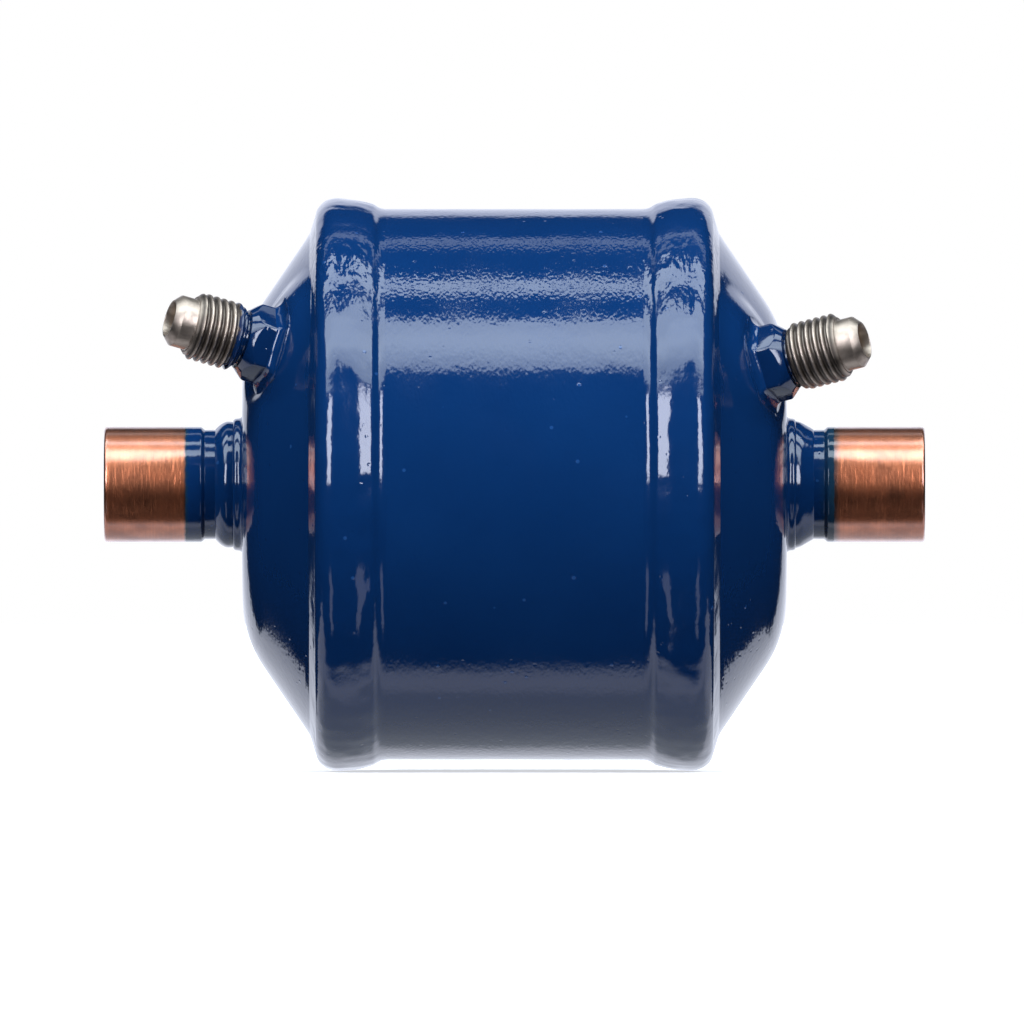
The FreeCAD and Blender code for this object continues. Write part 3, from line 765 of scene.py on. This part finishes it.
class Wire:
    """One output socket of a node. Arithmetic on it adds Math nodes to the same graph."""

    def __init__(self, graph, socket):
        self.graph = graph
        self.socket = socket

    def math(self, operation, *others):
        terms = dict(enumerate((self,) + others))
        return self.graph.node("ShaderNodeMath", {"operation": operation}, terms)

    def reflected(self, operation, other):
        return self.graph.node("ShaderNodeMath", {"operation": operation}, {0: other, 1: self})

    def __add__(self, other):
        return self.math("ADD", other)

    def __sub__(self, other):
        return self.math("SUBTRACT", other)

    def __mul__(self, other):
        return self.math("MULTIPLY", other)

    def __truediv__(self, other):
        return self.math("DIVIDE", other)

    def __rsub__(self, other):
        return self.reflected("SUBTRACT", other)

    def __rtruediv__(self, other):
        return self.reflected("DIVIDE", other)

    def __neg__(self):
        return 0 - self

    __radd__ = __add__
    __rmul__ = __mul__

    def between(self, low, high):
        """0 below low, 1 above high, and a smooth step between. With low above high it falls."""
        settings = {"interpolation_type": "SMOOTHSTEP"}
        return self.graph.node("ShaderNodeMapRange", settings, {0: self, 1: low, 2: high})

    def inside(self, low, high, soft):
        """1 between low and high, with soft edges."""
        return self.between(low - soft, low + soft) * self.between(high + soft, high - soft)


# %% [markdown]
# ## The graph of a material
# Every node comes from one method, Graph.node, and the few textures that this object needs get a name
# and sizes in millimetres. Colours are mixed by Mix nodes, because a Math node would turn them grey.

# %% The graph and its textures


class Graph:
    """The node tree of a material, or of the world, emptied and ready to be built."""

    def __init__(self, tree):
        self.tree = tree
        tree.nodes.clear()

    def node(self, kind, settings=None, sockets=None, output=0):
        """Adds a node. Settings are set first, then each socket gets its value or its link."""
        made_node = self.tree.nodes.new(kind)
        for name, setting in (settings or {}).items():
            setattr(made_node, name, setting)
        for name, source in (sockets or {}).items():
            if isinstance(source, Wire):
                self.tree.links.new(source.socket, made_node.inputs[name])
            else:
                made_node.inputs[name].default_value = source
        return None if output is None else Wire(self, made_node.outputs[output])

    def place(self, shift=0.0, scale=(1, 1, 1)):
        """The point on the piece in millimetres, shifted and stretched for a texture."""
        local = self.node("ShaderNodeTexCoord", output="Object")
        factor = tuple(part / MM for part in scale)
        return self.node("ShaderNodeMapping", {"vector_type": "POINT"},
                         {"Vector": local, "Location": (shift, shift / 2, -shift), "Scale": factor})

    def axes(self, vector):
        """The x, y and z of a vector as three wires."""
        return [self.node("ShaderNodeSeparateXYZ", None, {0: vector}, axis) for axis in range(3)]

    def cloud(self, where, size, detail=2.0, roughness=0.5):
        """Noise from 0 to 1 with features about size millimetres across."""
        return self.node("ShaderNodeTexNoise", None, {
            "Vector": where, "Scale": 1 / size, "Detail": detail, "Roughness": roughness})

    def cells(self, where, size):
        """The distance to the nearest of many scattered points, about size millimetres apart."""
        return self.node("ShaderNodeTexVoronoi", {"feature": "F1"},
                         {"Vector": where, "Scale": 1 / size}, "Distance")

    def blend(self, factor, first, second):
        """Two colours mixed by a factor."""
        return self.node("ShaderNodeMix", {"data_type": "RGBA"}, {0: factor, 6: first, 7: second}, 2)

    def bump(self, height, depth, normal=None):
        """A bumped normal. Depth is how many millimetres a height of 1 stands for."""
        sockets = {"Strength": 1.0, "Distance": depth * MM, "Height": height}
        if normal:
            sockets["Normal"] = normal
        return self.node("ShaderNodeBump", None, sockets)

    def shader(self, **sockets):
        """A Principled shader. A name's underscores stand for spaces."""
        named = {name.replace("_", " "): source for name, source in sockets.items()}
        return self.node("ShaderNodeBsdfPrincipled", None, named)

    def mixed(self, factor, first, second):
        return self.node("ShaderNodeMixShader", None, {0: factor, 1: first, 2: second})

    def output(self, shader, kind="Material"):
        self.node("ShaderNodeOutput" + kind, None, {"Surface": shader}, None)


def colour(red, green, blue):
    """An sRGB colour of 0 to 255, as the linear values that nodes want."""
    def linear(channel):
        share = channel / 255
        return share / 12.92 if share < 0.04045 else ((share + 0.055) / 1.055) ** 2.4
    return (linear(red), linear(green), linear(blue), 1)


finishes = {}


def finish(name):
    """Starts a material with this name and returns its empty graph."""
    material = bpy.data.materials.new(name)
    material.use_nodes = True
    finishes[name] = material
    return Graph(material.node_tree)


print("mid grey as a linear value:", round(colour(128, 128, 128)[0], 3))

# %% [markdown]
# ## Gloss blue enamel
# The enamel is a thick, glossy coat over metal that was never polished. Close up it has orange peel, a
# pattern of shallow dimples about a millimetre across that frays the edge of every reflection, slow
# swells where the coat ran, and a few dust specks and tiny craters. Along the upper side of the can,
# where the spray landed half dry, the peel is coarser, and on the weld bands it pulls into short
# streaks. The colour hardly varies, so almost all of the work is in the Bump nodes. One function makes
# it, because the same enamel also covers the braze, the hexagons and part of each stub.

# %% The enamel
ENAMEL_DEEP = colour(5, 35, 74)
ENAMEL_LIGHT = colour(8, 42, 84)
ENAMEL_SPECK = colour(40, 84, 140)
ENAMEL_GLOSS = 0.07
ENAMEL_INDEX = 1.5
OVERSPRAY = colour(24, 48, 58)
DRIFT_SIZE = 16
SWELL_SIZE = 4.2
SWELL_DEPTH = 0.10
PEEL_SIZE = 1.2
FRAY_SIZE = 0.66
PEEL_DEPTH = 0.026
STREAK_SIZE = 0.9
SPECK_SIZE = 5.2
CRATER_SIZE = 3.1
SPECK_DEPTH = 0.022
DRY_STARTS = (24, 31)
DRY_ENDS = (42, 38)
BAND_SIDE = (33, 32.6)


def enamel(graph, shift, swell=0.4, fray=0.55, runs=0, thin_coat_or_shade=None, under=OVERSPRAY):
    """The coat. Its thin share is the colour under it that shows: copper under a thin coat, and on the
    valves a painted shade of darker blue. The rest scale its bumps.
    """
    upright = graph.place(shift, (1.7, 1, 1))
    drift = graph.cloud(graph.place(shift), DRIFT_SIZE, 3)
    specks = graph.cells(graph.place(shift), SPECK_SIZE).between(0.075, 0.04)
    craters = graph.cells(graph.place(shift + 40), CRATER_SIZE).between(0.12, 0.04)
    peel = graph.cloud(upright, PEEL_SIZE, 1.0, 0.5)
    frayed = graph.cloud(upright, FRAY_SIZE, 0.6)
    streaked = graph.cloud(graph.place(shift, (1.3, 0.45, 0.45)), STREAK_SIZE, 0.6)
    patchy = graph.cloud(graph.place(shift + 9), 9, 2).between(0.35, 0.7)
    swells = graph.cloud(graph.place(shift + 5), SWELL_SIZE, 1.5)
    along, _, up = graph.axes(graph.place())
    dry = up.between(*DRY_STARTS) * up.between(*DRY_ENDS)
    dry = dry * along.math("ABSOLUTE").between(*BAND_SIDE)
    tint = graph.blend(drift, ENAMEL_DEEP, ENAMEL_LIGHT)
    tint = graph.blend(specks * 0.35, tint, ENAMEL_SPECK)
    if thin_coat_or_shade is not None:
        tint = graph.blend(thin_coat_or_shade, tint, under)
    normal = graph.bump(swells, SWELL_DEPTH * swell)
    texture = peel + frayed * (0.3 + 0.6 * patchy + 1.3 * dry) + streaked * dry * runs
    normal = graph.bump(texture, PEEL_DEPTH * fray, normal)
    normal = graph.bump(specks - craters, SPECK_DEPTH, normal)
    return graph.shader(Base_Color=tint, Roughness=ENAMEL_GLOSS + 0.05 * patchy, Normal=normal,
                        IOR=ENAMEL_INDEX)


for name, shift, swell, fray, runs in (("blue_enamel_barrel", 0, 0.5, 1.0, 0),
                                       ("blue_enamel_inlet", 31, 0.3, 0.55, 7),
                                       ("blue_enamel_outlet", 77, 0.3, 0.55, 7)):
    graph = finish(name)
    graph.output(enamel(graph, shift, swell, fray, runs))
    print(name, "nodes:", len(graph.tree.nodes))

# %% [markdown]
# ## Drawn copper
# The stubs are bare copper at their open ends. Drawing leaves fine rings round the tube, handling
# leaves cloudy oxide, and a clear film over it is the shader's coat. The rings are a noise with a
# large scale along the tube's axis and a small one across it. The enamel is mixed over the copper by
# the height along the tube. It thins out at its masked edge, with a little overspray past it.

# %% The copper and its painted edge
COPPER_BRIGHT = (0.52, 0.165, 0.072, 1)
COPPER_DULL = (0.33, 0.095, 0.038, 1)
COPPER_RING = (0.30, 0.10, 0.045, 1)
FILM = {"Coat_Weight": 1.0, "Coat_IOR": 1.7, "Coat_Roughness": 0.2}
DENT_DEPTH = 0.15
RING_DEPTH = 0.035
GRAIN_DEPTH = 0.006
PAINT_EDGE = {"inlet": 53.0, "outlet": 51.5}
OVERSPRAY_WIDTH = {"inlet": 0.2, "outlet": 0.6}
THIN_WIDTH = {"inlet": 0.6, "outlet": 3.0}
EDGE_RAGGED = 0.3
EDGE_SOFT = 0.08
COPPER_SHIFT = {"inlet": 12, "outlet": 55}


def copper(graph, shift, height, edge, overspray):
    rings = graph.cloud(graph.place(shift, (3.2, 0.12, 0.12)), 1, 4, 0.6)
    broad = graph.cloud(graph.place(shift, (0.9, 0.16, 0.16)), 1, 2)
    oxide = graph.cloud(graph.place(shift + 3), 3.5, 3, 0.5).between(0.3, 0.75)
    tint = graph.blend(oxide, COPPER_BRIGHT, COPPER_DULL)
    tint = graph.blend(rings.between(0.35, 0.6) * 0.3, tint, COPPER_RING)
    near_paint = height.between(edge + overspray * 2, edge)
    tint = graph.blend(near_paint * 0.75, tint, OVERSPRAY)
    normal = graph.bump(broad, DENT_DEPTH)
    normal = graph.bump(rings, RING_DEPTH, normal)
    normal = graph.bump(graph.cloud(graph.place(shift), 0.35, 2), GRAIN_DEPTH, normal)
    return graph.shader(Base_Color=tint, Metallic=1.0, Roughness=0.26 + 0.1 * oxide + 0.06 * broad,
                        Normal=normal, **FILM)


for end in ENDS:
    graph = finish("copper_" + end)
    shift = COPPER_SHIFT[end]
    height = graph.axes(graph.place())[0].math("ABSOLUTE")
    ragged = (graph.cloud(graph.place(shift), 1.1, 3) - 0.5) * EDGE_RAGGED
    edge = PAINT_EDGE[end]
    thin_coat_or_shade = (height + ragged * 3).between(edge - THIN_WIDTH[end], edge) * 0.8
    painted = (height + ragged).between(edge + EDGE_SOFT, edge - EDGE_SOFT)
    bare = copper(graph, shift, height + ragged, edge, OVERSPRAY_WIDTH[end])
    coated = enamel(graph, shift, thin_coat_or_shade=thin_coat_or_shade)
    graph.output(graph.mixed(painted, bare, coated))
    print(end, "enamel ends", round(TUBE_END - edge, 2), "mm before the lip")

# %% [markdown]
# ## The valves' metal
# The threads and the nose are bare, warm grey plated steel, with the fine circles of the lathe, and the
# thread's roots are darkened by painted shade. The can was painted with its valves in place and their
# threads capped, so enamel covers the hexagon and neck, and on the inlet valve the first turn of
# thread; there its blue is mixed darker, as painted shade. The finish is laid out in the valve's own
# frame, so a height is simply its Z.

# %% The valve metal
NICKEL = (0.36, 0.295, 0.24, 1)
NICKEL_DARK = (0.21, 0.17, 0.14, 1)
PAINTED_GROOVE_SHADE = (0.075, 0.062, 0.052, 1)
GROOVE = (THREAD_RADIUS - 0.1, THREAD_RADIUS - 0.42)
CIRCLE_DEPTH = 0.02
# Painted shade: the valve's enamel is mixed with this darker blue on the hexagon, neck and first thread.
HEX_SHADE_ENAMEL = colour(4, 24, 54)
HEX_SHADE_SHARE = 0.6
MASK_HEIGHT = {"inlet": 7.1, "outlet": 5.45}
MASK_RAGGED = 0.9
MASK_SOFT = 0.12
VALVE_SHIFT = {"inlet": 21, "outlet": 63}


def nickel(graph, shift):
    circles = graph.cloud(graph.place(shift, (0.15, 0.15, 5)), 1, 3, 0.6)
    wear = graph.cloud(graph.place(shift), 1.6, 4, 0.6).between(0.4, 0.75)
    tint = graph.blend(wear * 0.5, NICKEL, NICKEL_DARK)
    left, up, along = graph.axes(graph.place())
    # Painted shade: the roots of the thread are darkened in the base colour, by distance from the axis.
    groove_shade = (left * left + up * up).math("SQRT").between(*GROOVE)
    groove_shade = groove_shade * along.between(THREAD_END, THREAD_END - 0.5)
    tint = graph.blend(groove_shade * 0.9, tint, PAINTED_GROOVE_SHADE)
    return graph.shader(Base_Color=tint, Metallic=1.0, Roughness=0.37 + 0.14 * wear,
                        Normal=graph.bump(circles, CIRCLE_DEPTH))


for end in ENDS:
    graph = finish("valve_metal_" + end)
    shift = VALVE_SHIFT[end]
    height = graph.axes(graph.place())[2]
    ragged = (graph.cloud(graph.place(shift), 1.4, 3) - 0.5) * MASK_RAGGED
    mask = MASK_HEIGHT[end]
    painted = (height + ragged).between(mask + MASK_SOFT, mask - MASK_SOFT)
    coated = enamel(graph, shift, thin_coat_or_shade=HEX_SHADE_SHARE, under=HEX_SHADE_ENAMEL)
    graph.output(graph.mixed(painted, nickel(graph, shift), coated))
    print(end, "valve is painted up to", mask, "mm over its pad")

# %% [markdown]
# ## What the can hides
# Nobody sees the drying core through a welded can, but the model is also looked at in pieces, so each
# inner part has the finish it would have on the bench. In the valves that is brass, a white sealing
# ring and black rubber, and in the can spring steel, plated sheet and woven wire.

# %% Brass, sealing, steel and wire finishes
MESH_PITCH = 0.4


def brass_finish():
    graph = finish("core_brass")
    marks = graph.cloud(graph.place(2, (0.6, 0.6, 2)), 0.5, 3)
    tint = graph.blend(marks, (0.72, 0.50, 0.20, 1), (0.52, 0.34, 0.13, 1))
    graph.output(graph.shader(Base_Color=tint, Metallic=1.0, Roughness=0.2 + 0.2 * marks,
                              Normal=graph.bump(marks, 0.01)))


def sealing_finish(name, light, dark, size, rough):
    graph = finish(name)
    grain = graph.cloud(graph.place(1), size, 3)
    graph.output(graph.shader(Base_Color=graph.blend(grain, light, dark), Roughness=rough + 0.15 * grain,
                              Normal=graph.bump(grain, 0.01)))


def steel_finish(name, light, dark, stretch, rough):
    graph = finish(name)
    grain = graph.cloud(graph.place(4, stretch), 1, 4, 0.6)
    blotch = graph.cloud(graph.place(7), 5, 3)
    graph.output(graph.shader(Base_Color=graph.blend(grain * 0.5 + blotch * 0.5, light, dark),
                              Metallic=1.0, Roughness=rough + 0.2 * blotch,
                              Normal=graph.bump(grain, 0.01)))


def screen_finish():
    """Plain woven wire: two sets of round wires that pass over and under each other, with painted shade
    in the openings.
    """
    graph = finish("woven_wire")
    _, left, up = graph.axes(graph.place())
    wires = [(way * math.pi / MESH_PITCH).math("SINE") for way in (left, up)]
    weave = wires[0] * wires[1]
    rows = wires[0].math("ABSOLUTE").math("MAXIMUM", wires[1].math("ABSOLUTE"))
    # Painted shade: the openings between the wires are coloured near black.
    graph.output(graph.shader(
        Base_Color=graph.blend(rows, (0.08, 0.08, 0.08, 1), (0.58, 0.57, 0.54, 1)), Metallic=1.0,
        Roughness=0.45 - 0.15 * rows, Normal=graph.bump(rows + 0.3 * weave, 0.12)))


brass_finish()
sealing_finish("sealing_ring", colour(236, 233, 222), colour(214, 210, 196), 0.8, 0.35)
sealing_finish("seal_rubber", colour(30, 30, 30), colour(16, 16, 16), 0.4, 0.6)
steel_finish("spring_steel", (0.50, 0.49, 0.47, 1), (0.30, 0.29, 0.28, 1), (0.3, 0.3, 0.3), 0.25)
steel_finish("plated_sheet", (0.66, 0.65, 0.60, 1), (0.48, 0.46, 0.40, 1), (3, 0.4, 0.4), 0.28)
screen_finish()
print("finishes so far:", len(finishes))

# %% [markdown]
# ## Felt and bonded beads
# Felt is two mats of stretched noise laid across each other, and the distance to scattered points
# makes the round beads of the drying block, with painted shade in the gaps between them.

# %% Felt and bead finishes
BEAD_SIZE = 1.6


def felt_finish():
    graph = finish("wool_felt")
    fibres = graph.cloud(graph.place(3, (2.5, 0.6, 0.6)), 1, 6, 0.7)
    crossed = graph.cloud(graph.place(6, (0.6, 2.5, 2.5)), 1, 6, 0.7)
    mat = fibres.math("MAXIMUM", crossed)
    graph.output(graph.shader(Base_Color=graph.blend(mat, colour(196, 188, 170), colour(236, 231, 218)),
                              Roughness=0.95, Normal=graph.bump(mat, 0.5)))


def desiccant_finish():
    """Round beads of sieve, about a millimetre and a half across, bonded into a block."""
    graph = finish("bonded_beads")
    beads = graph.cells(graph.place(2), BEAD_SIZE)
    dust = graph.cloud(graph.place(5), 6, 4)
    tint = graph.blend(dust, colour(214, 202, 176), colour(230, 222, 203))
    # Painted shade: the gaps between the beads are darker in the base colour.
    tint = graph.blend(beads.between(0.35, 0.75), tint, colour(158, 144, 118))
    graph.output(graph.shader(Base_Color=tint, Roughness=0.9, Normal=graph.bump(1 - beads, 0.5)))


felt_finish()
desiccant_finish()
print("finishes:", ", ".join(sorted(finishes)))

# %% [markdown]
# ## Giving every piece its finish
# The new pieces take theirs by name. The inner solids keep the meshes they came with, and only the
# material in their slot changes.

# %% Assign the finishes
INNER_FINISH = {
    "core_brass": ("core_plug", "core_barrel", "core_pin"),
    "sealing_ring": ("core_gasket",),
    "seal_rubber": ("core_seal",),
    "spring_steel": ("core_spring", "loading_spring"),
    "plated_sheet": ("outlet_plate", "pressure_plate"),
    "woven_wire": ("outlet_screen",),
    "wool_felt": ("filter_pad", "core_felt"),
    "bonded_beads": ("desiccant_core",),
}


def dress(piece, name):
    piece.data.materials.clear()
    piece.data.materials.append(finishes[name])
    return piece


dress(made["barrel_tube"], "blue_enamel_barrel")
for end in ENDS:
    for part in ("weld_band", "pressed_cap", "braze_ring", "foot_fillet"):
        dress(made[f"{end}_{part}"], "blue_enamel_" + end)
    dress(made[end + "_copper_stub"], "copper_" + end)
    dress(made[end + "_flare_valve"], "valve_metal_" + end)
    dress(made[end + "_core_coil"], "spring_steel")
dressed = [dress(solid, name) for node, solid in frame["nodes"].items()
           for name, endings in INNER_FINISH.items() if node.endswith(endings)]
print("new pieces:", len(made), "inner solids with a finish:", len(dressed))

# %% [markdown]
# ## The studio
# A glossy cylinder is a mirror of the whole room, so the studio decides the look as much as the paint
# does. The room is painted on the world by direction. Roll is the angle round the can's axis: zero at
# the camera's side, 90 straight up, 180 behind. Width is how far a direction points along the can: it
# is zero for what the barrel mirrors, and grows over the weld bands and cones. Turn and rise are the
# compass angle from the camera's side and the height above the horizon.

# %% Measure directions in the room
world = bpy.data.worlds.new("studio")
bpy.context.scene.world = world
world.use_nodes = True
studio = Graph(world.node_tree)
direction = studio.node("ShaderNodeTexCoord", output="Generated")
side, deep, high = studio.axes(direction)
TO_DEGREES = 180 / math.pi
roll = high.math("ARCTAN2", -deep) * TO_DEGREES
turn = side.math("ABSOLUTE").math("ARCTAN2", -deep) * TO_DEGREES
rise = high.math("ARCSINE") * TO_DEGREES
width = side.math("ABSOLUTE")
print("nodes that measure a direction:", len(studio.tree.nodes))

# %% [markdown]
# ## Boxes of light
# One large soft box hangs over the camera's side, brightest in the middle. A narrow strip runs
# overhead and a fainter one behind it. Box and strip are wider towards the ends of the can. Two
# upright boxes stand beside the camera, with a fainter pair low down. The rest is dark, which keeps
# the blue deep.

# %% Hang the boxes
SOFT_BOX = (49, 73)
SOFT_BOX_WIDER = (-4, 8)
STRIP = (87, 95)
STRIP_WIDER = (2, 10)
STRIP_GLOW = 6.0
BACK_STRIP = (119, 126)
BACK_STRIP_GLOW = 1.2
UPRIGHT_TURN = (22, 38)
UPRIGHT_RISE = (2, 36)
UPRIGHT_GLOW = 14
LOW_RISE = (-61, -33)
LOW_GLOW = 1.2
spread = width.between(0.05, 0.18)


def widened(edges, wider):
    """The two edges of a box, moved out by their shares where the spread is full."""
    return [edge + more * spread for edge, more in zip(edges, wider)]


box_glow = 4.8 + 2.8 * roll.between(48, 62) - 1.1 * roll.between(63, 70)
soft_box = roll.inside(*widened(SOFT_BOX, SOFT_BOX_WIDER), 1.2) * box_glow
strip = STRIP_GLOW * roll.inside(*widened(STRIP, STRIP_WIDER), 0.8)
overhead = (soft_box + strip) * width.between(0.68, 0.6)
back_strip = BACK_STRIP_GLOW * roll.inside(*BACK_STRIP, 0.8) * width.between(0.6, 0.5)
upright_rows = UPRIGHT_GLOW * rise.inside(*UPRIGHT_RISE, 1.5) + LOW_GLOW * rise.inside(*LOW_RISE, 3)
uprights = turn.inside(*UPRIGHT_TURN, 1.5) * upright_rows
print("soft box reaches from roll", SOFT_BOX[0], "to", SOFT_BOX[1], "degrees")

# %% [markdown]
# ## The sweep, and what the camera sees
# A white sweep rises behind the can and runs under it. It ends at a fixed share of width to depth or
# to height, as paper of that size would, and the can's own shade lies on it. Camera rays see plain
# white instead of the room, as the photograph's background is.

# %% Lay the sweep and light the world
SWEEP_GLOW = 1.25
ROOM_GLOW = 0.01
COOL = (0.78, 0.90, 1.0, 1)
PALE = (0.83, 0.87, 1.0, 1)
WHITE = (1, 1, 1, 1)
wall = (width / deep).inside(-1, 0.56, 0.04) * (roll.between(150, 155) + roll.between(-150, -155))
sheet = (width / -high).inside(-1, 1.92, 0.03) * roll.between(-79, -89)
shade = roll.inside(-145, -97, 5) * width.between(0.75, 0.5)
sweep = wall.math("MAXIMUM", sheet * (1.1 - 0.45 * shade))
room = ROOM_GLOW + overhead + back_strip + SWEEP_GLOW * sweep + uprights
tone = studio.blend(sweep.math("MAXIMUM", uprights), COOL, PALE)
seen = studio.node("ShaderNodeLightPath", output="Is Camera Ray")
glow = studio.node("ShaderNodeBackground", None, {"Color": tone, "Strength": room})
white = studio.node("ShaderNodeBackground", None, {"Color": WHITE, "Strength": 1.0})
studio.output(studio.mixed(seen, glow, white), "World")
print("nodes in the studio:", len(studio.tree.nodes))

# %% [markdown]
# ## The floor
# The can would be fixed by its tube, but a floor just under it gives the picture its ground and takes
# a soft shadow. A little of its own light towards the camera brings it up to the white of the
# background. The can takes its reflections and its soft light from the painted studio, so the floor
# is left out of both.

# %% Lay the floor
FLOOR_SIZE = 12.0
FLOOR_GAP = 0.05
FLOOR_LIFT = 0.55
bpy.ops.mesh.primitive_plane_add(size=FLOOR_SIZE, location=(0, 0, -(CREST_RADIUS + FLOOR_GAP) * MM))
floor = bpy.context.object
floor.name = "pale_floor"
floor.visible_glossy = False
floor.visible_diffuse = False
graph = finish("pale_floor")
seen = graph.node("ShaderNodeLightPath", output="Is Camera Ray")
lit = graph.node("ShaderNodeBsdfDiffuse", None, {"Color": (0.85, 0.85, 0.85, 1)})
lift = graph.node("ShaderNodeEmission", None, {"Color": WHITE, "Strength": FLOOR_LIFT * seen})
graph.output(graph.node("ShaderNodeAddShader", None, {0: lit, 1: lift}))
dress(floor, "pale_floor")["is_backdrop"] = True
print("floor lies at", round(floor.location.z / MM, 2), "mm")

# %% [markdown]
# ## The camera
# The photograph has no visible perspective, which means a long lens from far away. A thousand
# millimetres at four and a half metres keeps the sides of the can straight.

# %% Set up the camera
PICTURE_WIDTH = 165.2
LENS = 1000
SENSOR = 36
AIM = Vector((-0.40, 0, -4.44))
distance = PICTURE_WIDTH * LENS / SENSOR
camera_data = bpy.data.cameras.new("camera")
camera_data.lens = LENS
camera_data.sensor_width = SENSOR
camera_data.clip_start = 0.1
camera_data.clip_end = 50
camera = bpy.data.objects.new("camera", camera_data)
bpy.context.scene.collection.objects.link(camera)
camera.location = (AIM + Vector((0, -distance, 0))) * MM
camera.rotation_euler = (math.pi / 2, 0, 0)
bpy.context.scene.camera = camera
bpy.context.scene.view_settings.view_transform = "Standard"
print("camera stands", round(distance * MM, 2), "m away")

# %% [markdown]
# ## The size of the dressed model
# The dressed model has to stay inside the box of the imported solids. Both boxes are printed side by
# side, axis by axis.

# %% Print both boxes
model_low, model_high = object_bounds()
for axis_name, solid_side, model_side in zip("XYZ", cad_high - cad_low, model_high - model_low):
    print(axis_name, "solids", round(solid_side / MM, 2), "dressed", round(model_side / MM, 2))
